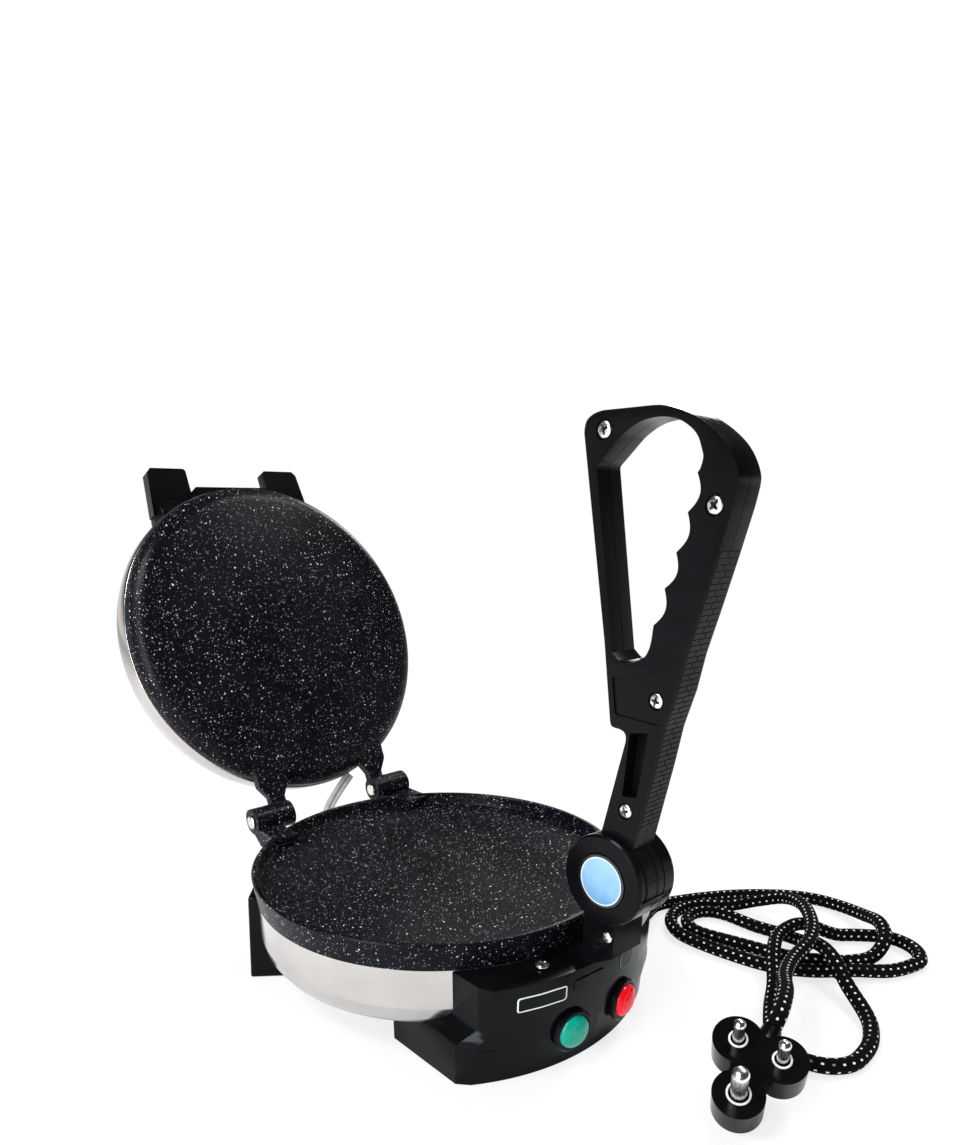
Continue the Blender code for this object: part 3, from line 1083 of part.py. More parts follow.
def from_hub(share):
    """A place in the hub's own frame from shares of the handle's reach."""
    return (share[0] * HANDLE_REACH, share[1] * HANDLE_REACH)


def hub_arc(big, small, inset=0):
    """The hub's edge from the arm's front side, under it and up to the arm's back side."""
    front_step = HUB_STEP_ANGLE - inset
    back_step = HUB_BACK_STEP_ANGLE + inset
    points = arc((0, 0), big, HANDLE_ROOT_FRONT_ANGLE + inset, front_step, 6)
    points += arc((0, 0), small, front_step, back_step, 11)
    points += arc((0, 0), big, back_step, 360 + HANDLE_ROOT_BACK_ANGLE - inset, 5)
    return points


def scallops():
    """The grip opening's finger side: one shallow hollow between each pair of cusps."""
    points = []
    for start, end in zip(GRIP_CUSP_SHARES, GRIP_CUSP_SHARES[1:]):
        a = Vector(from_hub(start))
        b = Vector(from_hub(end))
        side = Vector(((b - a).y, -(b - a).x)).normalized() * SCALLOP_DEPTH_SHARE * HANDLE_REACH
        for step in range(SCALLOP_STEPS):
            t = step / SCALLOP_STEPS
            points.append(tuple(a.lerp(b, t) + side * math.sin(math.pi * t)))
    points.append(from_hub(GRIP_CUSP_SHARES[-1]))
    return points


def make_handle(pivot, plastic, nickel, chrome, disc_finish):
    root_back = arc((0, 0), HUB_RADIUS - HANDLE_ROOT_BACK_INSET, HANDLE_ROOT_BACK_ANGLE, 0, 1)[:1]
    root_front = arc((0, 0), HUB_RADIUS + SEAT_GAP, HANDLE_ROOT_FRONT_ANGLE, 0, 1)[:1]
    outer_ring = root_back + [from_hub(share) for share in GRIP_OUTER_SHARES] + root_front
    outer_ring += hub_arc(HUB_RADIUS - SEAT_GAP, HUB_NECK_RADIUS)[1:-1]
    opening = [from_hub(share) for share in GRIP_OPENING_SHARES]
    opening += scallops()
    opening += [from_hub(share) for share in GRIP_THROAT_SHARES]
    seam = HANDLE_SEAM_GAP / 2
    thick = HANDLE_HALF_THICKNESS
    halves = {}
    for side, label in ((-1, "left"), (1, "right")):
        low = min(side * seam, side * thick)
        high = max(side * seam, side * thick)
        half = slab("handle_half_" + label, [outer_ring, opening], low, high, "YZ")
        soften_rim(half, 0, side * thick, HANDLE_EDGE_ROUNDING)
        add(half, pivot, plastic)
        halves[side] = half
        inner = side * (thick - HANDLE_POCKET_DEPTH)
        outer = side * (thick + CUT_OVERRUN)
        pocket = slab("handle_pocket_" + label, [[from_hub(share) for share in POCKET_SHARES]],
                      min(inner, outer), max(inner, outer), "YZ")
        combine(half, add(pocket, pivot))
        inner = side * (thick - HANDLE_PANEL_DEPTH)
        panel = slab("handle_panel_" + label, [[from_hub(share) for share in PANEL_SHARES]],
                     min(inner, outer), max(inner, outer), "YZ")
        combine(half, add(panel, pivot))
    boss_ring = hub_arc(HUB_RADIUS - SEAT_GAP * 2, HUB_NECK_RADIUS - SEAT_GAP, HUB_BOSS_INSET_ANGLE)
    boss = slab("hub_boss", [boss_ring], HUB_LEFT_X, -thick / 2, "YZ")
    combine(halves[-1], add(boss, pivot), "UNION")
    relief = bar("hub_relief", (HUB_RIGHT_X, 0, 0), (thick + CUT_OVERRUN, 0, 0), HUB_RADIUS + SEAT_GAP * 2,
                 SMALL_SEGMENTS * 2)
    combine(halves[1], add(relief, pivot))
    bore = bar("handle_bore", (HUB_LEFT_X - CUT_OVERRUN, 0, 0), (thick + CUT_OVERRUN, 0, 0),
               PIVOT_RADIUS + PIN_CLEARANCE)
    add(bore, pivot)
    for half in halves.values():
        combine(half, bore)
    nut_pocket = bar("nut_pocket", (HUB_LEFT_X - CUT_OVERRUN, 0, 0), (HUB_LEFT_X + PIVOT_NUT_POCKET_DEPTH, 0, 0),
                     PIVOT_NUT_POCKET_RADIUS)
    combine(halves[-1], add(nut_pocket, pivot))
    seats = [-(thick - HANDLE_SCREW_SEAT)] * len(HANDLE_SCREW_SHARES)
    seats[2] += HANDLE_PANEL_DEPTH
    for number, (share, seat) in enumerate(zip(HANDLE_SCREW_SHARES, seats), 1):
        y, z = from_hub(share)
        sink = bar("handle_sink_%d" % number, (seat, y, z), (-thick - CUT_OVERRUN, y, z),
                   HANDLE_SCREW_HEAD_RADIUS + SCREW_CLEARANCE)
        end = seat + HANDLE_SCREW_LENGTH + SEAT_GAP
        hole = bar("handle_hole_%d" % number, (seat - SEAT_GAP, y, z), (end, y, z),
                   HANDLE_SCREW_SHANK_RADIUS + SCREW_CLEARANCE, SCREW_SEGMENTS)
        add(hole, pivot)
        combine(halves[-1], add(sink, pivot))
        combine(halves[-1], hole)
        combine(halves[1], hole)
        screw("handle_screw_%d" % number, pivot, nickel, (seat - SEAT_GAP, y, z), (-1, 0, 0),
              HANDLE_SCREW_HEAD_RADIUS, HANDLE_SCREW_HEAD_HEIGHT, HANDLE_SCREW_SHANK_RADIUS, HANDLE_SCREW_LENGTH)

    inner = 0
    outer = HUB_CAP_THICKNESS
    disc_seat = outer - HUB_DISC_THICKNESS + HUB_DISC_PROUD
    disc_bore = HUB_DISC_RADIUS + SEAT_GAP
    profile = [(0, disc_seat - SEAT_GAP), (disc_bore, disc_seat - SEAT_GAP), (disc_bore, outer)]
    profile += [(HUB_RADIUS - HUB_CAP_BEVEL, outer), (HUB_RADIUS, outer - HUB_CAP_BEVEL), (HUB_RADIUS, inner)]
    profile += [(0, inner)]
    cap = turned("hub_cap", profile, TURN_SEGMENTS)
    turn = Vector((-1, 0, 0)).to_track_quat("Z", "Y").to_matrix().to_4x4()
    cap.matrix_world = Matrix.Translation((HUB_LEFT_X - SEAT_GAP, 0, 0)) @ turn
    add(cap, pivot, plastic)
    start = HUB_LEFT_X - SEAT_GAP - disc_seat
    disc = bar("hub_disc", (start, 0, 0), (start - HUB_DISC_THICKNESS, 0, 0), HUB_DISC_RADIUS, TURN_SEGMENTS)
    add(disc, pivot, disc_finish)


def make_pivot(hub, chrome):
    nut_start = HUB_LEFT_X + PIVOT_NUT_POCKET_DEPTH - SEAT_GAP
    head = CHEEK_OUTER_X + SEAT_GAP
    end = nut_start - PIVOT_NUT_THICKNESS
    profile = [
        (0, head + PIVOT_HEAD_THICKNESS), (PIVOT_HEAD_RADIUS * 0.85, head + PIVOT_HEAD_THICKNESS),
        (PIVOT_HEAD_RADIUS, head + PIVOT_HEAD_THICKNESS * 0.6), (PIVOT_HEAD_RADIUS, head), (PIVOT_RADIUS, head),
        (PIVOT_RADIUS, end), (0, end),
    ]
    bolt = turned("pivot_bolt", profile, SMALL_SEGMENTS)
    turn = Vector((1, 0, 0)).to_track_quat("Z", "Y").to_matrix().to_4x4()
    bolt.matrix_world = Matrix.Translation((0, HUB_Y, HUB_Z)) @ turn
    add(bolt, hub, chrome)
    nut = slab("pivot_nut", [hexagon(PIVOT_NUT_RADIUS), arc((0, 0), PIVOT_RADIUS + SEAT_GAP, 0, 345, 23)],
               end + SEAT_GAP, nut_start, "YZ")
    nut.location = (0, HUB_Y, HUB_Z)
    add(nut, hub, chrome)


def make_bracket(base, plastic, nickel):
    hub = (HUB_Y, HUB_Z)
    middle = (SADDLE_INNER_RADIUS + HUB_RADIUS) / 2
    front_angle = math.degrees(math.acos((NECK_FRONT_Y - HUB_Y) / middle))
    back_angle = math.degrees(math.acos((NECK_BACK_Y - HUB_Y) / middle))
    top = arc(hub, middle, -front_angle, -back_angle, 6)
    foot = BOX_TOP + SEAT_GAP
    outline = top + [(NECK_BACK_Y, NECK_SHELF_Z), (NECK_FOOT_BACK_Y, foot), (NECK_FOOT_FRONT_Y, foot)]
    outline += [(NECK_FRONT_Y, NECK_SHELF_Z)]
    bracket = slab("handle_bracket", [outline], -NECK_HALF_WIDTH, NECK_HALF_WIDTH, "YZ")
    add(bracket, base, plastic)
    ring = arc(hub, HUB_RADIUS, SADDLE_START_ANGLE, SADDLE_END_ANGLE, 10)
    ring += arc(hub, SADDLE_INNER_RADIUS, SADDLE_END_ANGLE, SADDLE_START_ANGLE, 10)
    saddle = slab("saddle", [ring], HUB_LEFT_X, CHEEK_INNER_X + CUT_OVERRUN, "YZ")
    combine(bracket, add(saddle, base), "UNION")
    cheek = bar("cheek", (CHEEK_INNER_X, HUB_Y, HUB_Z), (CHEEK_OUTER_X, HUB_Y, HUB_Z), HUB_RADIUS,
                SMALL_SEGMENTS * 2)
    combine(bracket, add(cheek, base), "UNION")
    clearance = bar("cap_clearance", (HUB_LEFT_X, HUB_Y, HUB_Z), (-NECK_HALF_WIDTH - CUT_OVERRUN, HUB_Y, HUB_Z),
                    HUB_RADIUS + SEAT_GAP, SMALL_SEGMENTS * 2)
    combine(bracket, add(clearance, base))
    bore = bar("bracket_bore", (CHEEK_INNER_X - CUT_OVERRUN, HUB_Y, HUB_Z),
               (CHEEK_OUTER_X + CUT_OVERRUN, HUB_Y, HUB_Z), PIVOT_RADIUS + PIN_CLEARANCE)
    combine(bracket, add(bore, base))
    seat = -NECK_HALF_WIDTH + NECK_SCREW_SEAT
    place = (NECK_SCREW_Y, NECK_SCREW_Z)
    sink = bar("neck_sink", (seat, *place), (-NECK_HALF_WIDTH - CUT_OVERRUN, *place),
               SCREW_HEAD_RADIUS * 0.8 + SCREW_CLEARANCE)
    hole = bar("neck_hole", (seat - SEAT_GAP, *place), (seat + NECK_SCREW_LENGTH + SEAT_GAP, *place),
               SCREW_SHANK_RADIUS + SCREW_CLEARANCE, SCREW_SEGMENTS)
    combine(bracket, add(sink, base))
    combine(bracket, add(hole, base))
    screw("bracket_screw", base, nickel, (seat - SEAT_GAP, *place), (-1, 0, 0), head_radius=SCREW_HEAD_RADIUS * 0.8,
          length=NECK_SCREW_LENGTH)
    for side, label in ((-1, "left"), (1, "right")):
        place = (side * FOOT_BOLT_X, FOOT_BOLT_Y)
        under = BOX_TOP - BOX_WALL - SEAT_GAP
        hole = bar("bracket_foot_hole_" + label, (*place, BOX_TOP), (*place, under + FOOT_BOLT_LENGTH + SEAT_GAP),
                   SCREW_SHANK_RADIUS + SCREW_CLEARANCE, SCREW_SEGMENTS)
        combine(bracket, add(hole, base))
        screw("bracket_foot_screw_" + label, base, nickel, (*place, under), (0, 0, -1), length=FOOT_BOLT_LENGTH)


def cord_turn(turn):
    """A level turn of the lead on the table."""
    centre, radius, start, end = turn
    return [(x, y, CORD_REST) for x, y in arc(centre, radius, start, end, CORD_TURN_STEPS)]


def cord_route():
    """The mains lead's middle line, from the strain relief to the plug."""
    route = CORD_OUTWARD_ROUTE + cord_turn(CORD_INNER_TURN) + CORD_MIDDLE_ROUTE + cord_turn(CORD_RING_TURN)
    route += CORD_INWARD_ROUTE + cord_turn(CORD_FAR_TURN) + CORD_RETURN_ROUTE + cord_turn(CORD_OUTER_TURN)
    return route + CORD_PLUG_ROUTE


def smooth_route(points, spacing):
    """Points at even spacing on a smooth curve through the given ones."""
    route = [Vector(point) for point in points]
    padded = [route[0] * 2 - route[1]] + route + [route[-1] * 2 - route[-2]]
    fine = []
    steps = 12
    for i in range(len(route) - 1):
        a, b, c, d = padded[i:i + 4]
        for step in range(steps):
            t = step / steps
            fine.append(0.5 * (2 * b + (c - a) * t + (2 * a - 5 * b + 4 * c - d) * t * t
                               + (3 * b - a - 3 * c + d) * t * t * t))
            fine[-1].z = max(fine[-1].z, CORD_REST)
    fine.append(route[-1])
    lengths = [0.0]
    for a, b in zip(fine, fine[1:]):
        lengths.append(lengths[-1] + (b - a).length)
    count = max(2, round(lengths[-1] / spacing))
    result = []
    index = 0
    for number in range(count + 1):
        target = lengths[-1] * number / count
        while index < len(lengths) - 2 and lengths[index + 1] < target:
            index += 1
        share = (target - lengths[index]) / (lengths[index + 1] - lengths[index])
        result.append(fine[index].lerp(fine[index + 1], min(1.0, share)))
    return result, lengths[-1]


def least_gap(points, diameter):
    """The least gap between stretches of a tube that aren't neighbours along it."""
    least = math.inf
    lengths = [0.0]
    for a, b in zip(points, points[1:]):
        lengths.append(lengths[-1] + (b - a).length)
    for i, a in enumerate(points):
        for j in range(i + 1, len(points)):
            if lengths[j] - lengths[i] > diameter * 3:
                least = min(least, (points[j] - a).length - diameter)
    return least


def plug_turn():
    """The plug's orientation: it lies tilted on its earth side, pins up."""
    heading = math.radians(PLUG_LEAN_HEADING)
    lean_axis = Vector((-math.sin(heading), math.cos(heading), 0))
    lean = Matrix.Rotation(math.radians(PLUG_TILT), 4, lean_axis)
    return lean @ Matrix.Rotation(math.radians(PLUG_SPIN), 4, "Z")


def make_cord(base, sheath, plastic, clear, nickel):
    points, length = smooth_route(cord_route(), CORD_STEP)
    fine_points = smooth_route(cord_route(), CORD_DIAMETER / 4)[0]
    print("mains lead length %.3f m, least gap to itself %.4f m" % (length, least_gap(fine_points, CORD_DIAMETER)))
    add(meshed(rod("power_cord", points, CORD_DIAMETER / 2, CORD_SIDE_LEVELS)), base, sheath)

    start = Vector((BOX_SIDE_X, RELIEF_Y, RELIEF_Z))
    wall = BOX_WALL
    profile = [(0, RELIEF_LENGTH), (RELIEF_TIP_RADIUS, RELIEF_LENGTH)]
    ribs = 5
    for rib in range(ribs):
        share = rib / ribs
        radius = RELIEF_TIP_RADIUS + (RELIEF_ROOT_RADIUS - RELIEF_TIP_RADIUS) * share
        height = RELIEF_LENGTH * (1 - (rib + 0.55) / (ribs + 0.6))
        groove = RELIEF_LENGTH * 0.05
        profile += [(radius, height + groove), (radius - CORD_REST * 0.18, height + groove)]
        profile += [(radius - CORD_REST * 0.18, height - groove), (radius, height - groove)]
    lip = SEAT_GAP * 2
    profile += [(RELIEF_ROOT_RADIUS, lip), (RELIEF_GROOVE_RADIUS, lip), (RELIEF_GROOVE_RADIUS, -wall - lip)]
    profile += [(RELIEF_FLANGE_RADIUS, -wall - lip), (RELIEF_FLANGE_RADIUS, -wall - RELIEF_INNER_LENGTH)]
    profile += [(0, -wall - RELIEF_INNER_LENGTH)]
    relief = turned("strain_relief", profile, SCREW_SEGMENTS)
    relief.matrix_world = Matrix.Translation(start) @ Vector((1, 0, 0)).to_track_quat("Z", "Y").to_matrix().to_4x4()
    add(relief, base, plastic)

    low = Vector(TIE_RETURN_POINT)
    high = Vector(TIE_OUTWARD_POINT)
    spread = high - low
    half_x = spread.length / 2
    clear_radius = CORD_DIAMETER / 2 + TIE_SLACK
    inner = arc((half_x, 0), clear_radius, -90, 90, 8) + arc((-half_x, 0), clear_radius, 90, 270, 8)
    outer_radius = clear_radius + TIE_THICKNESS
    outer = arc((half_x, 0), outer_radius, -90, 90, 8) + arc((-half_x, 0), outer_radius, 90, 270, 8)
    along_tie = Vector((spread.y, -spread.x, 0)).normalized()
    first = spread.normalized()
    turn = Matrix((first, along_tie.cross(first), along_tie)).transposed().to_4x4()
    tie = slab("cord_tie", [outer, inner], -TIE_WIDTH / 2, TIE_WIDTH / 2, "XY")
    tie.matrix_world = Matrix.Translation((low + high) / 2) @ turn
    add(tie, base, clear)

    turn = plug_turn()
    place = Matrix.Translation((PLUG_X, PLUG_Y, PLUG_FACE_Z)) @ turn
    half = PLUG_PIN_SPACING / 2
    lobes = [(-half, 0), (half, 0), (0, -PLUG_EARTH_DROP)]
    body = bar("plug_body", (-half, 0, -PLUG_BODY_THICKNESS), (-half, 0, 0), PLUG_LOBE_RADIUS)
    body.matrix_world = place
    add(body, base, plastic)
    for number, centre in enumerate(lobes[1:], 1):
        lobe = bar("plug_lobe_%d" % number, (*centre, -PLUG_BODY_THICKNESS), (*centre, 0), PLUG_LOBE_RADIUS)
        lobe.matrix_world = place
        combine(body, add(lobe, base), "UNION")
    neck_reach = PLUG_LOBE_RADIUS * 0.62
    web = slab("plug_web", [[(-half, neck_reach), (half, neck_reach), (neck_reach, -PLUG_EARTH_DROP),
                             (-neck_reach, -PLUG_EARTH_DROP)]], -PLUG_BODY_THICKNESS, 0, "XY")
    web.matrix_world = place
    combine(body, add(web, base), "UNION")
    mid = -PLUG_BODY_THICKNESS / 2
    collar_end = neck_reach + PLUG_COLLAR_LENGTH
    collar = bar("plug_collar", (0, 0, mid), (0, collar_end, mid), PLUG_COLLAR_RADIUS, SMALL_SEGMENTS,
                 CORD_DIAMETER / 2 + TIE_THICKNESS)
    collar.matrix_world = place
    combine(body, add(collar, base), "UNION")
    pins = (
        ("plug_pin_line", lobes[0], PLUG_LINE_PIN_RADIUS, PLUG_LINE_PIN_LENGTH),
        ("plug_pin_neutral", lobes[1], PLUG_LINE_PIN_RADIUS, PLUG_LINE_PIN_LENGTH),
        ("plug_pin_earth", lobes[2], PLUG_EARTH_PIN_RADIUS, PLUG_EARTH_PIN_LENGTH),
    )
    for name, centre, radius, length in pins:
        socket = bar(name + "_socket", (*centre, -PLUG_PIN_SOCKET), (*centre, CUT_OVERRUN), radius + SEAT_GAP,
                     SCREW_SEGMENTS)
        socket.matrix_world = place
        combine(body, add(socket, base))
        tip_round = radius * 0.6
        profile = [(0, length), (radius * 0.5, length - tip_round * 0.15), (radius * 0.86, length - tip_round * 0.5)]
        profile += [(radius, length - tip_round), (radius, -PLUG_PIN_SOCKET + SEAT_GAP)]
        profile += [(0, -PLUG_PIN_SOCKET + SEAT_GAP)]
        pin = turned(name, profile, SCREW_SEGMENTS)
        pin.matrix_world = place @ Matrix.Translation((*centre, 0))
        add(pin, base, nickel)
    exit_point = place @ Vector((0, collar_end + SEAT_GAP, mid))
    print("plug collar mouth", [round(v, 4) for v in exit_point], "lead end", CORD_PLUG_ROUTE[-1])


def main():
    clear_scene()
    cast = finish("stone_fleck_coating", (0.012, 0.012, 0.014), 0.45)
    steel = finish("polished_steel", (0.72, 0.70, 0.68), 0.18, 1.0)
    plastic = finish("black_plastic", (0.014, 0.014, 0.016), 0.32)
    dark = finish("dark_cover_plastic", (0.020, 0.020, 0.021), 0.55)
    nickel = finish("nickel", (0.70, 0.69, 0.66), 0.22, 1.0)
    black = finish("element_sheath", (0.10, 0.10, 0.11), 0.6, 0.6)
    green = finish("green_lens", (0.0, 0.32, 0.22), 0.15)
    red = finish("red_lens", (0.80, 0.005, 0.02), 0.15)
    glass = finish("neon_glass", (0.80, 0.45, 0.25), 0.1, 0.0, 0.6)
    blue = finish("pale_blue_disc", (0.62, 0.80, 0.90), 0.3)
    brass = finish("ceramic_block", (0.78, 0.76, 0.70), 0.5)
    sheath = finish("braided_sheath", (0.02, 0.02, 0.02), 0.8)
    sleeve = finish("white_sleeve", (0.80, 0.79, 0.77), 0.6)
    clear = finish("clear_band", (0.85, 0.85, 0.83), 0.2, 0.0, 0.6)

    base = empty("plate_axis", (0, -PLATE_SETBACK, 0))
    lid = empty("lid_hinge_axis", (0, HINGE_Y, HINGE_Z), base, (math.radians(-LID_OPEN_ANGLE), 0, 0))
    pivot = empty("press_handle_axis", (0, HUB_Y, HUB_Z), base)

    make_lower_plate(base, cast)
    make_bowl(base, steel)
    make_centre_screw(base, nickel)
    under = PLATE_RIM_TOP - RECESS_DEPTH - PLATE_FLOOR_THICKNESS
    far = make_heater("lower", base, (0, 0, 0), under, -1, PLATE_STUD_RADIUS, black, steel, nickel)
    start = far - SEAT_GAP
    thermostat = bar("thermostat", (THERMOSTAT_X, 0, start), (THERMOSTAT_X, 0, start - THERMOSTAT_HEIGHT),
                     THERMOSTAT_RADIUS)
    add(thermostat, base, brass)
    make_feet(base, plastic, nickel)
    make_box(base, plastic, dark, nickel, brass)
    make_lamps(base, plastic, {"green": green, "red": red}, glass)
    make_pins(base, nickel)
    make_lid(lid, cast, steel, plastic, black, nickel)
    make_handle(pivot, plastic, nickel, nickel, blue)
    make_bracket(base, plastic, nickel)
    make_pivot(base, nickel)
    make_cord(base, sheath, plastic, clear, nickel)
    hinge = Vector((0, HINGE_Y, HINGE_Z))
    lead_points = smooth_route([hinge + Vector(point) for point in LID_LEAD_ROUTE], LID_LEAD_RADIUS * 2)[0]
    add(meshed(rod("lid_lead", lead_points, LID_LEAD_RADIUS, 1)), base, sleeve)
    bpy.context.view_layer.update()


main()
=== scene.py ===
"""The look of an electric roti maker: coated plates, steel bowl, black plastic and a braided lead."""
import math
import bmesh
import bpy
from mathutils import Matrix, Vector
from mathutils.bvhtree import BVHTree


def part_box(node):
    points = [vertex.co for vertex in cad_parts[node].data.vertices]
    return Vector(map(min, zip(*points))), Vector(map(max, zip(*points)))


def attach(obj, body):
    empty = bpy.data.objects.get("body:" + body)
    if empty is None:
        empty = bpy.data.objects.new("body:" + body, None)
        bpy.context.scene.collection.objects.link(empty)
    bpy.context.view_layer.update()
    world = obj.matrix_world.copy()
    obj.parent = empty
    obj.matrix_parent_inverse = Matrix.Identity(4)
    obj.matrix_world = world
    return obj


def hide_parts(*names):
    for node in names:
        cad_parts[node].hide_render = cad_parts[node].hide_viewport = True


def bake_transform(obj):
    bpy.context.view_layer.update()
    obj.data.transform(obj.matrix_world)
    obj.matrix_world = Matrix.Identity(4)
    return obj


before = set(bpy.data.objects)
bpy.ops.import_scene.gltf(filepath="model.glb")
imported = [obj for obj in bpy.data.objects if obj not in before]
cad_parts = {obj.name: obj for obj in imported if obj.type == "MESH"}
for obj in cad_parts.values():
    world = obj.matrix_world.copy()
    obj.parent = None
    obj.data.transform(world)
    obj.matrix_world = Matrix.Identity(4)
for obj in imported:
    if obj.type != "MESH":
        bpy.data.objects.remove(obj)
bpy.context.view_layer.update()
scene = bpy.context.scene

# Places in the shared frame, in metres
PLATE_AXIS = Vector((0, -0.0246, 0))
HINGE = Vector((0, 0.0819, 0.0666))
HUB = Vector((0, -0.1461, 0.0945))
LID_OPEN = math.radians(-110.6)
CORD_REST = 0.00395
CORD_DIAMETER = 0.0076

# Camera values: metres, degrees and pixels of the photo
IMAGE_HEIGHT = 1145
CAMERA_PLACE = Vector((-0.2547, -0.3353, 0.2423))
CAMERA_AZIMUTH = 42.81
CAMERA_ELEVATION = 21.85
CAMERA_ROLL = 0.075
CAMERA_FOCAL_PIXELS = 796.9
CAMERA_SHIFT = 0.22


# Node materials

def feed(tree, node, inputs):
    """Links each named input to another node's output, or gives it a fixed value."""
    for key, value in inputs.items():
        socket = node.inputs[key]
        if isinstance(value, bpy.types.NodeSocket):
            tree.links.new(value, socket)
        else:
            socket.default_value = (*value, 1.0) if socket.type == "RGBA" else value


def new_material(name, inputs):
    material = bpy.data.materials.new(name)
    material.use_nodes = True
    tree = material.node_tree
    shader = tree.nodes["Principled BSDF"]
    feed(tree, shader, inputs)
    return material, tree, shader


def add_node(tree, kind, settings=None, inputs=None):
    node = tree.nodes.new("ShaderNode" + kind)
    for key, value in (settings or {}).items():
        setattr(node, key, value)
    feed(tree, node, inputs or {})
    return node


def maths(tree, operation, a, b=0.0):
    return add_node(tree, "Math", {"operation": operation}, {0: a, 1: b}).outputs[0]


def object_place(tree):
    return add_node(tree, "TexCoord").outputs["Object"]


def noise(tree, scale, detail=3.0, roughness=0.5):
    inputs = {"Vector": object_place(tree), "Scale": scale, "Detail": detail, "Roughness": roughness}
    return add_node(tree, "TexNoise", None, inputs).outputs["Fac"]


def spread(tree, value, low, high, new_low=0.0, new_high=1.0, kind="LINEAR"):
    inputs = {"Value": value, "From Min": low, "From Max": high, "To Min": new_low, "To Max": new_high}
    return add_node(tree, "MapRange", {"interpolation_type": kind}, inputs).outputs[0]


def blend_colour(tree, share, first, second):
    inputs = {0: share, 6: first, 7: second}
    return add_node(tree, "Mix", {"data_type": "RGBA"}, inputs).outputs[2]


def paint(tree, shader, colour, rough):
    feed(tree, shader, {"Base Color": colour, "Roughness": rough})


def bump(tree, shader, height, strength, distance):
    inputs = {"Height": height, "Strength": strength, "Distance": distance}
    feed(tree, shader, {"Normal": add_node(tree, "Bump", None, inputs).outputs[0]})


# Flecks, large to tiny: cells to the metre, largest radius in cells, share of cells with one, brightness
FLECKS = (
    (400.0, 0.21, 0.34, 1.0),
    (640.0, 0.25, 0.46, 0.85),
    (1000.0, 0.30, 0.55, 0.40),
)


def specks(tree, scale, radius, share):
    """White flecks: one in each cell of a random pattern, and only in some cells."""
    inputs = {"Vector": object_place(tree), "Scale": scale, "Randomness": 1.0}
    cells = add_node(tree, "TexVoronoi", {"feature": "F1"}, inputs)
    parts = add_node(tree, "SeparateColor", None, {0: cells.outputs["Color"]})
    chance, growth, strength = parts.outputs
    size = spread(tree, growth, 0.0, 1.0, radius * 0.35, radius)
    ratio = maths(tree, "DIVIDE", cells.outputs["Distance"], size)
    spot = spread(tree, ratio, 1.0, 0.75)
    chosen = maths(tree, "LESS_THAN", chance, share)
    bright = spread(tree, strength, 0.0, 1.0, 0.35, 1.0)
    return maths(tree, "MULTIPLY", maths(tree, "MULTIPLY", spot, chosen), bright)


def coating():
    """Non-stick coating: near black with white flecks and a fine orange-peel."""
    material, tree, shader = new_material("fleck_coating", {"Specular IOR Level": 0.085})
    total = 0.0
    for scale, radius, share, brightness in FLECKS:
        layer = maths(tree, "MULTIPLY", specks(tree, scale, radius, share), brightness)
        total = maths(tree, "MAXIMUM", total, layer)
    clouds = noise(tree, 26.0, 4.0, 0.6)
    dark = blend_colour(tree, spread(tree, clouds, 0.35, 0.65),
                        (0.0020, 0.0021, 0.0034), (0.0042, 0.0043, 0.0066))
    colour = blend_colour(tree, total, dark, (0.80, 0.80, 0.82))
    paint(tree, shader, colour, spread(tree, clouds, 0.3, 0.7, 0.30, 0.38))
    peel = noise(tree, 1100.0, 2.0)
    bump(tree, shader, maths(tree, "ADD", peel, maths(tree, "MULTIPLY", total, 0.8)), 0.10, 0.0003)
    return material


def steel(name, axis_place, axis):
    """Thin polished steel with faint turning lines round its axis and soft smudges."""
    material, tree, shader = new_material(name, {"Metallic": 1.0})
    turn = axis.to_track_quat("Z", "Y").inverted()
    moved = add_node(tree, "VectorMath", {"operation": "SUBTRACT"}, {0: object_place(tree), 1: axis_place})
    turned = add_node(tree, "Mapping", {"vector_type": "POINT"},
                      {"Vector": moved.outputs[0], "Rotation": turn.to_euler()})
    parts = add_node(tree, "SeparateXYZ", None, {0: turned.outputs[0]})
    lines = add_node(tree, "TexNoise", {"noise_dimensions": "1D"},
                     {"W": parts.outputs[2], "Scale": 1900.0, "Detail": 3.0}).outputs["Fac"]
    smudge = noise(tree, 34.0, 4.0, 0.6)
    rough = spread(tree, smudge, 0.3, 0.7, 0.13, 0.24)
    rough = maths(tree, "ADD", rough, maths(tree, "MULTIPLY", lines, 0.05))
    colour = blend_colour(tree, spread(tree, smudge, 0.35, 0.7), (0.59, 0.56, 0.535), (0.51, 0.485, 0.46))
    paint(tree, shader, colour, rough)
    relief = maths(tree, "ADD", lines, maths(tree, "MULTIPLY", smudge, 1.5))
    bump(tree, shader, relief, 0.05, 0.0004)
    return material


def plastic(name, colour, rough_low, rough_high, level, grain=0.04):
    """Moulded black plastic with a faint flow in its gloss."""
    material, tree, shader = new_material(name, {"Specular IOR Level": level})
    flow = noise(tree, 42.0, 3.0, 0.55)
    fine = noise(tree, 1500.0, 2.0)
    lighter = tuple(channel * 1.7 for channel in colour)
    tone = blend_colour(tree, spread(tree, flow, 0.3, 0.7), colour, lighter)
    paint(tree, shader, tone, spread(tree, flow, 0.3, 0.7, rough_low, rough_high))
    bump(tree, shader, fine, grain, 0.0002)
    return material


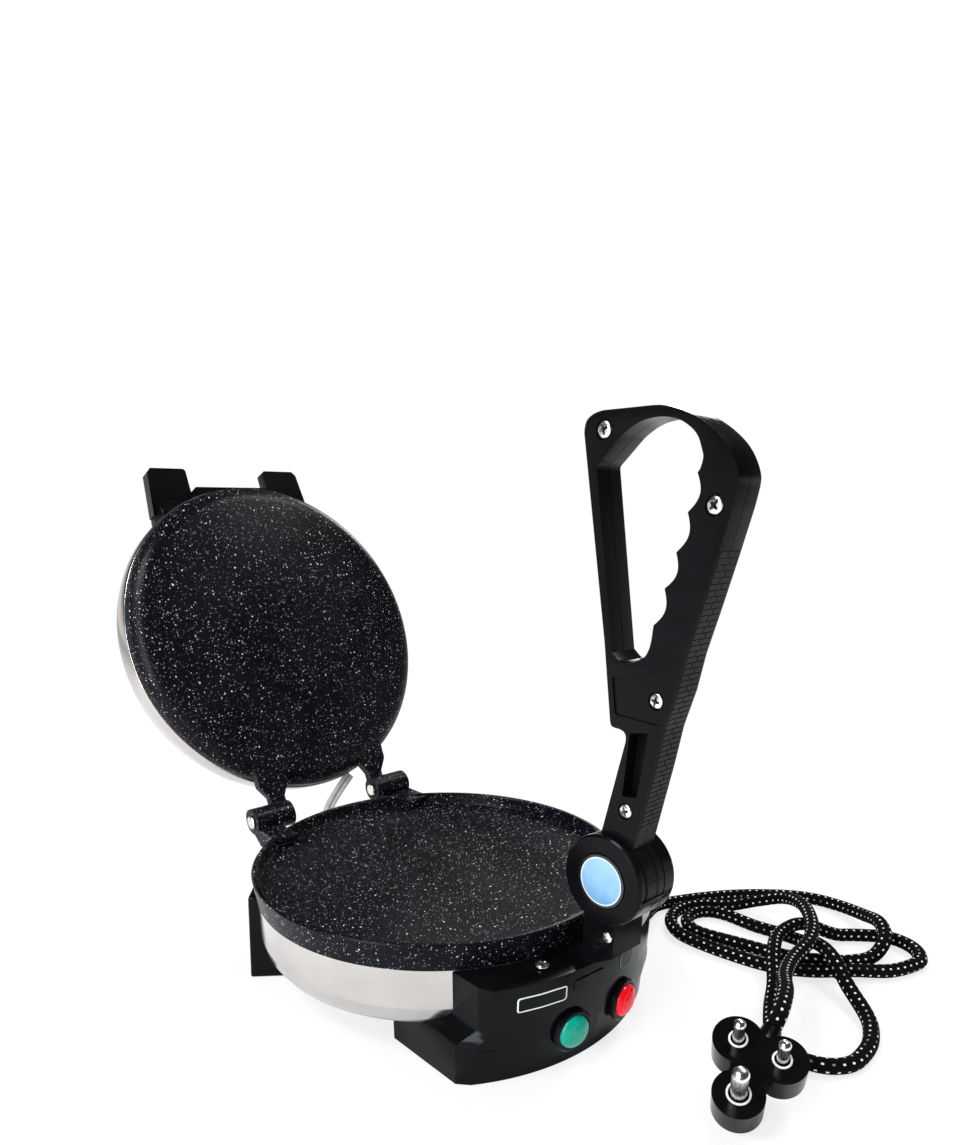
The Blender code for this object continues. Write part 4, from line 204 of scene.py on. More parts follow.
def nickel():
    """Bright plating, a little worn."""
    material, tree, shader = new_material("nickel_plate", {"Metallic": 1.0})
    wear = noise(tree, 260.0, 4.0, 0.6)
    tone = blend_colour(tree, spread(tree, wear, 0.4, 0.75), (0.80, 0.775, 0.74), (0.62, 0.59, 0.55))
    paint(tree, shader, tone, spread(tree, wear, 0.3, 0.7, 0.16, 0.30))
    bump(tree, shader, wear, 0.03, 0.0001)
    return material


def lens(name, deep, light):
    """A coloured lens, lighter where the lamp behind it shows through."""
    material, tree, shader = new_material(name, {
        "Specular IOR Level": 0.3, "Subsurface Weight": 0.25, "Subsurface Radius": (0.002, 0.002, 0.002)})
    swirl = noise(tree, 70.0, 2.0, 0.4)
    paint(tree, shader, blend_colour(tree, spread(tree, swirl, 0.3, 0.75), deep, light), 0.18)
    bump(tree, shader, noise(tree, 500.0, 1.0), 0.02, 0.0001)
    return material


def plain_finish(name, dark, light, low, high, scale, metallic=0.0, grain=0.1):
    """A surface whose tone and gloss drift a little from place to place."""
    material, tree, shader = new_material(name, {"Metallic": metallic})
    drift = noise(tree, scale, 4.0, 0.55)
    tone = blend_colour(tree, spread(tree, drift, 0.3, 0.7), dark, light)
    paint(tree, shader, tone, spread(tree, drift, 0.3, 0.7, low, high))
    bump(tree, shader, noise(tree, scale * 12, 3.0), grain, 0.0003)
    return material


DISC_REACH = 0.0109
DISC_BORDER = 0.0006


def disc_face():
    """The hub's plain disc: a soft drift from blue to pale blue inside a thin light border."""
    material, tree, shader = new_material("pale_blue_disc", {"Coat Weight": 0.4, "Coat Roughness": 0.08})
    parts = add_node(tree, "SeparateXYZ", None, {0: object_place(tree)})
    rise = maths(tree, "SUBTRACT", parts.outputs[2], HUB.z)
    back = maths(tree, "SUBTRACT", parts.outputs[1], HUB.y)
    square = maths(tree, "ADD", maths(tree, "MULTIPLY", rise, rise), maths(tree, "MULTIPLY", back, back))
    reach = maths(tree, "SQRT", square)
    border = maths(tree, "GREATER_THAN", reach, DISC_REACH - DISC_BORDER)
    outside = maths(tree, "GREATER_THAN", reach, DISC_REACH)
    tone = blend_colour(tree, spread(tree, rise, -0.011, 0.011), (0.06, 0.22, 0.42), (0.26, 0.44, 0.60))
    drift = noise(tree, 90.0, 3.0)
    tone = blend_colour(tree, spread(tree, drift, 0.3, 0.8, 0.0, 0.5), tone, (0.30, 0.50, 0.63))
    tone = blend_colour(tree, border, tone, (0.55, 0.64, 0.70))
    tone = blend_colour(tree, outside, tone, (0.003, 0.003, 0.0036))
    paint(tree, shader, tone, 0.22)
    return material


BRAID_STRANDS = 6.0
BRAID_PITCH = 0.0022
WEAVE_TURN = math.pi * 4
DASH_ACROSS = 0.24
DASH_ALONG = 0.52


def braid():
    """Black cotton braid with short white dashes and painted shade in the weave's hollows, laid out in the
    lead's own length and turn.
    """
    material, tree, shader = new_material("cotton_braid", {"Specular IOR Level": 0.05})
    layout = add_node(tree, "UVMap").outputs[0]
    parts = add_node(tree, "SeparateXYZ", None, {0: layout})
    across = maths(tree, "MULTIPLY", parts.outputs[0], BRAID_STRANDS)
    along = maths(tree, "DIVIDE", parts.outputs[1], BRAID_PITCH)
    cells = []
    places = []
    weave = []
    pale = []
    for operation in ("ADD", "SUBTRACT"):
        strand = maths(tree, operation, along, across)
        cells.append(maths(tree, "FLOOR", strand))
        places.append(maths(tree, "FRACT", strand))
        weave.append(maths(tree, "SINE", maths(tree, "MULTIPLY", strand, WEAVE_TURN)))
        pale.append(maths(tree, "LESS_THAN", maths(tree, "FLOORED_MODULO", cells[-1], 2.0), 0.5))
    height = maths(tree, "ABSOLUTE", maths(tree, "MULTIPLY", *weave))
    aside = maths(tree, "ABSOLUTE", maths(tree, "SUBTRACT", *places))
    ahead = maths(tree, "ABSOLUTE", maths(tree, "SUBTRACT", maths(tree, "ADD", *places), 1.0))
    white = maths(tree, "MULTIPLY", *pale)
    white = maths(tree, "MULTIPLY", white, maths(tree, "LESS_THAN", aside, DASH_ACROSS))
    white = maths(tree, "MULTIPLY", white, maths(tree, "LESS_THAN", ahead, DASH_ALONG))
    cell = add_node(tree, "CombineXYZ", None, {0: maths(tree, "ADD", *cells), 1: maths(tree, "FLOOR", along)})
    chance = add_node(tree, "TexWhiteNoise", {"noise_dimensions": "2D"}, {"Vector": cell.outputs[0]})
    white = maths(tree, "MULTIPLY", white, spread(tree, chance.outputs["Value"], 0.10, 0.35, 0.25, 1.0))
    # Painted shade: the weave is painted darker where it lies low and lighter on the strands' crowns.
    dark = blend_colour(tree, height, (0.0012, 0.0012, 0.0014), (0.0044, 0.0044, 0.0050))
    paint(tree, shader, blend_colour(tree, white, dark, (0.78, 0.77, 0.73)), 0.8)
    bump(tree, shader, height, 0.6, 0.0003)
    return material


def clear_band():
    """The clear plastic band round the bundled lead."""
    material, tree, shader = new_material("clear_band", {"Alpha": 0.85, "Transmission Weight": 0.25})
    drift = noise(tree, 300.0)
    tone = blend_colour(tree, drift, (0.90, 0.90, 0.88), (0.72, 0.72, 0.72))
    paint(tree, shader, tone, spread(tree, drift, 0.3, 0.7, 0.12, 0.30))
    return material


UP = Vector((0, 0, 1))
SIDEWAYS = Vector((1, 0, 0))
LID_TURN = Matrix.Rotation(LID_OPEN, 3, "X")
LID_AXIS = LID_TURN @ UP
LID_CENTRE = HINGE + LID_TURN @ (PLATE_AXIS - HINGE)
LID_STEEL = steel("lid_steel", LID_CENTRE, LID_AXIS)
BLACK = plastic("black_gloss", (0.0022, 0.0022, 0.0027), 0.14, 0.22, 0.09)
HANDLE_BLACK = plastic("handle_gloss", (0.0024, 0.0024, 0.0029), 0.18, 0.28, 0.08)
NICKEL = nickel()
SLEEVE = plain_finish("pale_sleeve", (0.50, 0.49, 0.47), (0.74, 0.73, 0.70), 0.16, 0.3, 160.0, 0.0, 0.08)
BRAID = braid()
PALE_LINE = plain_finish("pale_line", (0.58, 0.66, 0.62), (0.72, 0.79, 0.75), 0.25, 0.35, 500.0)
GREEN_LINE = plain_finish("green_line", (0.03, 0.13, 0.05), (0.06, 0.20, 0.09), 0.25, 0.35, 500.0)
# Pale grey for the rings round the plug's pins: a painted highlight of the edges round their bases.
PIN_HIGHLIGHT_RING = plain_finish("pin_ring", (0.55, 0.55, 0.54), (0.75, 0.75, 0.73), 0.25, 0.35, 500.0)

FINISHES = {
    "coating": coating(),
    "polished_steel": steel("bowl_steel", PLATE_AXIS, UP),
    "black_plastic": BLACK,
    "cover_plastic": plastic("cover_satin", (0.0090, 0.0090, 0.0095), 0.45, 0.6, 0.3, 0.2),
    "nickel": NICKEL,
    "element_sheath": plain_finish("element_sheath", (0.07, 0.068, 0.066), (0.14, 0.135, 0.13),
                                   0.45, 0.7, 120.0, 0.6),
    "ceramic_block": plain_finish("ceramic", (0.70, 0.68, 0.62), (0.82, 0.80, 0.74), 0.45, 0.6, 150.0),
    "green_lens": lens("green_lens", (0.0, 0.27, 0.18), (0.002, 0.37, 0.26)),
    "red_lens": lens("red_lens", (0.78, 0.001, 0.008), (0.92, 0.004, 0.020)),
    "neon_glass": plain_finish("neon_glass", (0.75, 0.40, 0.22), (0.85, 0.55, 0.35), 0.06, 0.12, 100.0),
    "blue_disc": disc_face(),
    "braided_sheath": BRAID,
    "white_sleeve": SLEEVE,
    "clear_band": clear_band(),
}
NODES = [item for item in bpy.data.objects if item.type == "MESH"]
NODE_SLOTS = {item.name: item.data.materials[0].name.split(".")[0] for item in NODES}
for node in NODES:
    for index in range(len(node.data.materials)):
        node.data.materials[index] = FINISHES[NODE_SLOTS[node.name]]


# Mesh tools

SAME_PLACE = 2e-5
MERGE_REACH = 1e-5
FLAT_ANGLE = math.radians(0.4)
LONGEST_CHORD = 0.45
RADIUS_SLACK = 1e-6


def circle_point(radius, turn):
    """The two coordinates at this radius and this turn, in degrees."""
    angle = math.radians(turn)
    return radius * math.cos(angle), radius * math.sin(angle)


def link_object(name, data):
    item = bpy.data.objects.new(name, data)
    scene.collection.objects.link(item)
    return item


def add_object(name, bm):
    """Puts what was built into the scene as an object, its faces turned outwards."""
    bmesh.ops.recalc_face_normals(bm, faces=bm.faces)
    mesh = bpy.data.meshes.new(name)
    bm.to_mesh(mesh)
    bm.free()
    return link_object(name, mesh)


def made_mesh(item):
    """The mesh that an object's curve or modifiers make."""
    bpy.context.view_layer.update()
    return bpy.data.meshes.new_from_object(item.evaluated_get(bpy.context.evaluated_depsgraph_get()))


def shade(item, angle):
    """Smooth shading that keeps the edges sharper than this angle, in degrees."""
    item.data.shade_smooth()
    item.data.set_sharp_from_angle(angle=math.radians(angle))


def make_piece(name, bm, material, body, angle):
    """A finished piece of its own, riding on a body if one is given."""
    item = add_object(name, bm)
    item.data.materials.append(material)
    shade(item, angle)
    if body:
        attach(item, body)
    return item


def soften(item, width, segments, angle):
    """Rounds the edges that bend by more than this angle, in degrees."""
    bevel = item.modifiers.new("edges", "BEVEL")
    bevel.width = width
    bevel.segments = segments
    bevel.limit_method = "ANGLE"
    bevel.angle_limit = math.radians(angle)
    bevel.harden_normals = True
    return bevel


def round_out(bm, centre, axis, cuts, least):
    """Splits the chords of circles round an axis and moves their new points out to the circle.

    Chords no longer than the least length stay as they are. New points beside a chord's ends go
    first, so that the ones further in find a neighbour that is already on the circle.
    """
    turn = axis.to_track_quat("Z", "Y").inverted()

    def polar(point):
        local = turn @ (point - centre)
        return math.hypot(local.x, local.y), local.z

    chords = []
    for edge in bm.edges:
        (ra, za), (rb, zb) = polar(edge.verts[0].co), polar(edge.verts[1].co)
        level = abs(ra - rb) < SAME_PLACE and abs(za - zb) < SAME_PLACE
        if level and least < edge.calc_length() < ra * LONGEST_CHORD:
            chords.append(edge)
    made = bmesh.ops.subdivide_edges(bm, edges=chords, cuts=cuts, use_grid_fill=False)
    fresh = [item for item in made["geom_inner"] if isinstance(item, bmesh.types.BMVert)]
    fresh.sort(key=lambda vert: -polar(vert.co)[0])
    back = turn.inverted()
    for vert in fresh:
        radii = [polar(edge.other_vert(vert).co) for edge in vert.link_edges]
        local = turn @ (vert.co - centre)
        reach = math.hypot(local.x, local.y)
        near = [r for r, z in radii if abs(z - local.z) < SAME_PLACE and r >= reach - RADIUS_SLACK]
        if near:
            grow = max(near) / reach
            vert.co = centre + back @ Vector((local.x * grow, local.y * grow, local.z))


def dress(node, body, width, segments=2, rounds=(), least=0.0025, angle=32.0, material=None):
    """Stands for a CAD node: the same shape with its edges rounded and its circles made rounder."""
    source = bpy.data.objects[node]
    bm = bmesh.new()
    bm.from_mesh(source.data)
    bmesh.ops.remove_doubles(bm, verts=bm.verts, dist=MERGE_REACH)
    bmesh.ops.dissolve_limit(bm, angle_limit=FLAT_ANGLE, verts=bm.verts, edges=bm.edges)
    for centre, axis, cuts in rounds:
        round_out(bm, centre, axis, cuts, least)
    finish = material or source.data.materials[0]
    item = make_piece(node + "_shown", bm, finish, body, angle)
    if width:
        soften(item, width, segments, angle).miter_outer = "MITER_ARC"
    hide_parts(node)


def stitch(bm, rings):
    """Walls between rings of equal point counts."""
    for a, b in zip(rings, rings[1:]):
        for k in range(len(a)):
            bm.faces.new((a[k], a[(k + 1) % len(a)], b[(k + 1) % len(a)], b[k]))


def polyline(points, spacing):
    """Points at even spacing along straight runs."""
    lengths = [0.0]
    for a, b in zip(points, points[1:]):
        lengths.append(lengths[-1] + (b - a).length)
    count = max(1, round(lengths[-1] / spacing))
    result = []
    index = 0
    for number in range(count + 1):
        target = lengths[-1] * number / count
        while index < len(lengths) - 2 and lengths[index + 1] < target:
            index += 1
        share = (target - lengths[index]) / (lengths[index + 1] - lengths[index])
        result.append(points[index].lerp(points[index + 1], min(1.0, share)))
    return result


ROUTE_STEPS = 12


def smooth_route(points, rest=-1.0):
    """Close points, in metres, on a smooth curve through places in millimetres, none below the rest."""
    route = [Vector([value / 1000 for value in point]) for point in points]
    padded = [route[0] * 2 - route[1]] + route + [route[-1] * 2 - route[-2]]
    fine = []
    for i in range(len(route) - 1):
        a, b, c, d = padded[i:i + 4]
        for step in range(ROUTE_STEPS):
            t = step / ROUTE_STEPS
            fine.append(0.5 * (2 * b + (c - a) * t + (2 * a - 5 * b + 4 * c - d) * t * t
                               + (3 * b - a - 3 * c + d) * t * t * t))
            fine[-1].z = max(fine[-1].z, rest)
    fine.append(route[-1])
    return fine


def tube(bm, points, radius, sides, layer=None):
    """A closed round tube along the points, with its real length and its turn in the UV map."""
    tangents = []
    for i in range(len(points)):
        tangents.append((points[min(i + 1, len(points) - 1)] - points[max(i - 1, 0)]).normalized())
    normal = tangents[0].orthogonal().normalized()
    rings = []
    lengths = [0.0]
    for i, point in enumerate(points):
        if i:
            lengths.append(lengths[-1] + (point - points[i - 1]).length)
            normal = (normal - tangents[i] * normal.dot(tangents[i])).normalized()
        side = tangents[i].cross(normal)
        ring = []
        for k in range(sides):
            turn = 2 * math.pi * k / sides
            ring.append(bm.verts.new(point + (normal * math.cos(turn) + side * math.sin(turn)) * radius))
        rings.append(ring)
    for i in range(len(rings) - 1):
        for k in range(sides):
            after = (k + 1) % sides
            face = bm.faces.new((rings[i][k], rings[i][after], rings[i + 1][after], rings[i + 1][k]))
            if layer:
                places = ((k, i), (k + 1, i), (k + 1, i + 1), (k, i + 1))
                for loop, (turn, along) in zip(face.loops, places):
                    loop[layer].uv = (turn / sides, lengths[along])
    for ring, i in ((rings[0], 0), (rings[-1], -1)):
        face = bm.faces.new(ring if i else ring[::-1])
        if layer:
            for k, loop in enumerate(face.loops):
                loop[layer].uv = (k / sides, lengths[i])


# Camera placed as in the photo

def make_camera():
    azimuth = math.radians(CAMERA_AZIMUTH)
    elevation = math.radians(CAMERA_ELEVATION)
    ahead = Vector((math.sin(azimuth) * math.cos(elevation), math.cos(azimuth) * math.cos(elevation),
                    -math.sin(elevation)))
    right = ahead.cross(UP).normalized()
    up = right.cross(ahead)
    roll = math.radians(CAMERA_ROLL)
    across = right * math.cos(roll) + up * math.sin(roll)
    upright = up * math.cos(roll) - right * math.sin(roll)
    data = bpy.data.cameras.new("camera")
    data.sensor_width = 36.0
    data.lens = data.sensor_width * CAMERA_FOCAL_PIXELS / IMAGE_HEIGHT
    data.shift_y = CAMERA_SHIFT
    data.clip_start = 0.01
    camera = link_object("camera", data)
    turn = Matrix((across, upright, -ahead)).transposed().to_4x4()
    camera.matrix_world = Matrix.Translation(CAMERA_PLACE) @ turn
    scene.camera = camera


make_camera()


# Mains lead, its places in millimetres from the plates' axis

OUTWARD = [
    (98.2, -60, 8.2), (113, -59.6, 7.9), (134.5, -53.8, 5),
    (157, -61, 4), (180, -74.5, 4), (200, -90.8, 4),
    (216, -110, 4), (221.5, -130, 4.1), (213.5, -150, 7.8),
    (200.5, -164.5, 12.9), (186, -173.8, 11.6), (171.5, -174, 6),
    (158, -166.8, 5.1), (147.5, -156, 5.2), (139.3, -139, 4),
    (132.5, -115, 4),
]
MIDDLE = [
    (158, -109, 4), (161, -127, 4), (156.5, -141, 7.2),
    (147.5, -152.5, 14.2), (138.8, -165, 14.6), (128.5, -178.5, 8.4),
    (114, -196, 4), (97, -204.9, 4),
]
INWARD = [
    (86, -159, 4.1), (104, -150.5, 7.2), (122, -139.5, 12.6),
    (143, -131.3, 13.2), (163, -134.7, 14.1), (184, -148, 4.3),
]
RETURN = [
    (167, -186, 4), (149, -171, 5.2), (133.5, -156.5, 4.8),
    (123, -138, 4), (117.5, -115, 4),
]
TO_PLUG = [
    (169.8, -84.6, 4.6), (180, -97.5, 9.2), (184.5, -112.5, 15.2),
    (173.5, -129, 20.8), (154, -144, 22.6), (133.5, -153, 22.6),
    (107, -156.5, 22.5), (84, -164, 26.4), (62.5, -175, 32.5),
    (45.5, -181.6, 33.4), (36.6, -183.2, 29.4),
]
# Level turns: centre, radius, first and last turn in degrees
TURNS = {
    "inner": ((142, -90), 15.7, 196, 0),
    "ring": ((79.5, -186.6), 20.8, -82, -232),
    "far": ((187, -175.5), 17.4, 45, -95),
    "outer": ((141.3, -90.9), 25.7, 184, 46),
}
TURN_STEPS = 5
CORD_SPACING = 0.0012
CORD_SIDES = 28


def cord_turn(name):
    """A level turn of the lead on the table."""
    (x, y), radius, start, end = TURNS[name]
    points = []
    for step in range(TURN_STEPS + 1):
        across, along = circle_point(radius, start + (end - start) * step / TURN_STEPS)
        points.append((x + across, y + along, CORD_REST * 1000))
    return points


def make_cord():
    route = OUTWARD + cord_turn("inner") + MIDDLE + cord_turn("ring") + INWARD + cord_turn("far")
    route += RETURN + cord_turn("outer") + TO_PLUG
    fine = smooth_route(route, CORD_REST)
    path = [point + PLATE_AXIS for point in polyline(fine, CORD_SPACING)]
    bm = bmesh.new()
    layer = bm.loops.layers.uv.new("UVMap")
    tube(bm, path, CORD_DIAMETER / 2, CORD_SIDES, layer)
    cord = make_piece("mains_lead", bm, BRAID, "base", 60.0)
    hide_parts("power_cord")


make_cord()


# Floor, light and background

FLOOR_REACH = 4.0
FLOOR_DROP = 0.0003
WHITE = (1.0, 1.0, 1.0)
COOL = (0.82, 0.89, 1.0)
# Lamps: name, place, target, width, height, watts, colour
LAMPS = (
    ("key", (-0.9, 0.1, 1.3), (0, -0.05, 0.1), 0.55, 0.40, 14.0, WHITE),
    ("front", (0.7, -0.3, 1.3), (0, -0.1, 0.1), 0.45, 0.35, 9.0, WHITE),
    ("rim", (1.1, 0.6, 0.9), (0, -0.05, 0.1), 0.35, 0.6, 8.0, WHITE),
    ("side", (-1.2, -0.35, 0.55), (0, 0.0, 0.15), 0.45, 0.7, 14.0, COOL),
)


def floor_finish():
    """White that keeps the object's shadow near it and fades to the background further out."""
    material, tree, shader = new_material("floor_white", {
        "Base Color": (0.86, 0.86, 0.86), "Roughness": 0.9, "Specular IOR Level": 0.1})
    light = add_node(tree, "LightPath")
    glow = add_node(tree, "Emission", None, {"Color": (1, 1, 1), "Strength": 1.0})
    place = object_place(tree)
    reached = add_node(tree, "VectorMath", {"operation": "LENGTH"}, {0: place}).outputs[1]
    fade = spread(tree, reached, 0.25, 0.85, 0.74, 1.0, "SMOOTHSTEP")
    share = maths(tree, "MULTIPLY", light.outputs["Is Camera Ray"], fade)
    mix = add_node(tree, "MixShader", None, {0: share, 1: shader.outputs[0], 2: glow.outputs[0]})
    feed(tree, tree.nodes["Material Output"], {"Surface": mix.outputs[0]})
    return material


def make_floor():
    bm = bmesh.new()
    bmesh.ops.create_grid(bm, x_segments=1, y_segments=1, size=FLOOR_REACH)
    floor = add_object("floor", bm)
    floor.location.z = -FLOOR_DROP
    floor.data.materials.append(floor_finish())


def make_background():
    """White to the camera. Reflections see it too near the floor, and a dim room above."""
    world = bpy.data.worlds.new("studio")
    scene.world = world
    world.use_nodes = True
    tree = world.node_tree
    path = add_node(tree, "LightPath")
    way = add_node(tree, "TexCoord").outputs["Generated"]
    height = add_node(tree, "SeparateXYZ", None, {0: way}).outputs[2]
    room = spread(tree, height, 0.0, 0.30, 1.0, 0.05, "SMOOTHSTEP")
    seen = maths(tree, "MAXIMUM", path.outputs["Is Glossy Ray"], path.outputs["Is Transmission Ray"])
    strength = maths(tree, "MAXIMUM", maths(tree, "MULTIPLY", seen, room), path.outputs["Is Camera Ray"])
    diffuse = maths(tree, "MULTIPLY", path.outputs["Is Diffuse Ray"], 0.45)
    strength = maths(tree, "MAXIMUM", strength, diffuse)
    feed(tree, tree.nodes["Background"], {"Color": (1, 1, 1), "Strength": strength})


def make_lamp(name, place, target, width, height, power, colour):
    data = bpy.data.lights.new(name, "AREA")
    data.shape = "RECTANGLE"
    data.size = width
    data.size_y = height
    data.energy = power
    data.color = colour
    item = link_object(name, data)
    way = Vector(target) - Vector(place)
    turn = way.to_track_quat("-Z", "Y").to_matrix().to_4x4()
    item.matrix_world = Matrix.Translation(Vector(place)) @ turn


make_floor()
make_background()
for lamp in LAMPS:
    make_lamp(*lamp)
scene.view_settings.view_transform = "Standard"


# Dressed pieces

PLATE_ROUND = [(PLATE_AXIS, UP, 3)]
LID_ROUND = [(LID_CENTRE, LID_AXIS, 3)]
HUB_ROUND = [(HUB, SIDEWAYS, 2)]
PIN_ROUND = [(HINGE, SIDEWAYS, 2)]

dress("lower_plate", "base", 0.0004, rounds=PLATE_ROUND)
dress("bowl", "base", 0.0002, 1, PLATE_ROUND)
dress("upper_plate", "lid", 0.0005, rounds=LID_ROUND)
dress("lid_cover", "lid", 0.0003, rounds=LID_ROUND, material=LID_STEEL)
dress("control_box", "base", 0.0010, 3, PLATE_ROUND)
dress("handle_bracket", "base", 0.0005)
dress("press_bracket", "lid", 0.0007, 3)
dress("rear_foot_left", "base", 0.0007)
dress("rear_foot_right", "base", 0.0007)
dress("hub_cap", "press_handle", 0.0003, rounds=HUB_ROUND)
dress("hub_disc", "press_handle", 0.0002, rounds=HUB_ROUND)

LAMP_HEIGHT = Vector((0, 0, 0.0190))
LAMP_TURN = math.radians(9.0)
SMALL_CHORD = 0.0006
for side, colour in ((-1, "green"), (1, "red")):
    way = Vector((side * math.sin(LAMP_TURN), -math.cos(LAMP_TURN), 0))
    lamp_round = [(PLATE_AXIS + LAMP_HEIGHT, way, 3)]
    dress(colour + "_lamp_bezel", "base", 0.0003, rounds=lamp_round, least=SMALL_CHORD)
    dress(colour + "_lamp_lens", "base", 0.0, rounds=lamp_round, least=SMALL_CHORD, angle=50.0)

for side in ("left", "right"):
    dress("hinge_pin_" + side, "base", 0.0002, rounds=PIN_ROUND, least=SMALL_CHORD)

PLUG_SEAT = Vector((0.0197, -0.1867, 0.0288))
PLUG_HEADING = math.radians(204.5)
PLUG_LEAN = math.radians(28.4)
PLUG_SPIN = math.radians(-79.8)
LEAN_AXIS = Vector((-math.sin(PLUG_HEADING), math.cos(PLUG_HEADING), 0))
PLUG_TURN = Matrix.Rotation(PLUG_LEAN, 4, LEAN_AXIS) @ Matrix.Rotation(PLUG_SPIN, 4, "Z")
PLUG_PLACE = Matrix.Translation(PLUG_SEAT + PLATE_AXIS) @ PLUG_TURN
PLUG_UP = (PLUG_PLACE.to_3x3() @ UP).normalized()
PIN_HALF_SPACING = 0.01905 / 2
PIN_RADIUS = 0.00254
EARTH_RADIUS = 0.00353
EARTH_BACK = 0.02223
PIN_PLACES = (
    ("line", (-PIN_HALF_SPACING, 0), PIN_RADIUS),
    ("neutral", (PIN_HALF_SPACING, 0), PIN_RADIUS),
    ("earth", (0, -EARTH_BACK), EARTH_RADIUS),
)
PLUG_ROUNDS = [(PLUG_PLACE @ Vector((*place, 0)), PLUG_UP, 3) for _, place, _ in PIN_PLACES]
dress("plug_body", "base", 0.0014, 4, PLUG_ROUNDS, 0.0015)
for (label, _, _), turn in zip(PIN_PLACES, PLUG_ROUNDS):
    dress("plug_pin_" + label, "base", 0.0003, rounds=[turn], least=0.0003)
dress("strain_relief", "base", 0.0002, 1)
dress("cord_tie", "base", 0.0001, 1)


# Two sleeved wires from the bowl to the lid, their places in millimetres from the hinge

LEAD_ROUTE = [
    (24, 15.5, 8.4), (20.5, 15, 5.6), (14, 13.5, 0.6),
    (6, 11, -5.6), (-1, 7, -12.1), (-6, 1.5, -18.1),
    (-8.5, -4.5, -21.1), (-9, -8.2, -21.6),
]
LEAD_SPACING = 0.0008
WIRE_RADIUS = 0.0016
WIRE_ASIDE = 0.00165
WIRE_SIDES = 16
WIRES_FACE = Vector((0, -1, 0.3))


def make_lid_lead():
    middle = polyline(smooth_route(LEAD_ROUTE), LEAD_SPACING)
    bm = bmesh.new()
    for side in (-1, 1):
        points = []
        for i, point in enumerate(middle):
            ahead = (middle[min(i + 1, len(middle) - 1)] - middle[max(i - 1, 0)]).normalized()
            away = ahead.cross(WIRES_FACE).normalized()
            points.append(HINGE + point + away * side * WIRE_ASIDE)
        tube(bm, points, WIRE_RADIUS, WIRE_SIDES)
    lead = make_piece("lid_wires", bm, SLEEVE, None, 60.0)
    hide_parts("lid_lead")
    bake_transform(lead)


make_lid_lead()


# Press handle, its outlines in shares of its reach from the hub

HANDLE_REACH = 0.1792
HANDLE_THICK = 0.0070
HANDLE_SEAM = 0.00015
HUB_OUTER = 0.0202
HUB_INNER = 0.0172
NECK_BACK_TURN = 75.4
NECK_FRONT_TURN = 124.8
NECK_FRONT_REACH = 0.0208
STEP_FRONT_TURN = 190
STEP_BACK_TURN = 380
OUTER_SHARES = [
    (-0.0240, 0.3438), (-0.0218, 0.3594), (-0.0073, 0.3661), (0.0167, 0.3661),
    (0.0223, 0.3750), (0.0508, 0.5480), (0.1350, 0.9643), (0.1311, 0.9844), (0.1133, 0.9955), (0.0898, 1.0),
    (-0.0368, 1.0), (-0.0608, 0.9983), (-0.1038, 0.9860), (-0.1328, 0.9738), (-0.1674, 0.9531),
    (-0.1975, 0.9291), (-0.2171, 0.9040), (-0.2294, 0.8789), (-0.2316, 0.8633), (-0.2254, 0.8248),
    (-0.2037, 0.7327), (-0.1797, 0.6367), (-0.1546, 0.5413), (-0.1412, 0.4648), (-0.1183, 0.3828),
    (-0.1032, 0.2902), (-0.0859, 0.1992),
]
OPENING_SHARES = [
    (0.0285, 0.5290), (0.0982, 0.8990), (0.0357, 0.9542), (-0.0017, 0.9743), (-0.0446, 0.9805),
    (-0.0826, 0.9765), (-0.1122, 0.9643), (-0.1378, 0.9448), (-0.1540, 0.9080), (-0.1500, 0.8880),
]
CUSP_SHARES = [
    (-0.1440, 0.8811), (-0.1306, 0.8125), (-0.1127, 0.7399), (-0.0926, 0.6707), (-0.0731, 0.5971),
]
THROAT_SHARES = [(-0.0700, 0.5560), (-0.0597, 0.5323), (-0.0300, 0.5150), (0.0056, 0.5110)]
POCKET_SHARES = [(-0.0330, 0.3620), (-0.0830, 0.3720), (-0.0640, 0.2190), (-0.0240, 0.2130)]
PANEL_SHARES = [
    (0.0250, 0.4760), (-0.1020, 0.5090), (-0.1180, 0.4620), (-0.1060, 0.3920), (0.0110, 0.3960),
]
SCREW_SHARES = [(0.0826, 0.9654), (-0.1869, 0.8248), (-0.0915, 0.4420), (-0.0357, 0.1797)]
SCALLOP_DEPTH = 0.0165 * HANDLE_REACH
SCALLOP_STEPS = 14
ROUND_SIDE = 0.0100
SLIGHT_BEND = math.radians(32.0)
CORNER_CUTS = 3
CUT_SHARE = 0.25
SHORT_SIDE = 2.5
LEAST_SIDE = 0.0003
RIM_ROUNDING = 0.0011
RIM_TURN = 0.6
SEAM_ROUNDING = 0.00018
PANEL_DEPTH = 0.0008
# What is cut into both sides: name, outline, corner size, depth
CUTS = (
    ("pocket", POCKET_SHARES, 0.0015, 0.0060),
    ("panel", PANEL_SHARES, 0.0018, PANEL_DEPTH),
)
CUT_OVERRUN = 0.001
BORE_RADIUS = 0.0033
BORE_REACH = SIDEWAYS * 0.02
SINK_RADIUS = 0.0036
SINK_DEPTH = 0.0011
BOSS_OUTER = 0.0199
BOSS_INNER = 0.0169
BOSS_INSET = 1
BOSS_FACE = -0.0084
BOSS_BACK = -0.0035
RELIEF_RADIUS = 0.0210
RELIEF_START = SIDEWAYS * 0.0050
RELIEF_END = SIDEWAYS * 0.0080


def shares_to_plane(shares):
    return [Vector((y * HANDLE_REACH, z * HANDLE_REACH)) for y, z in shares]


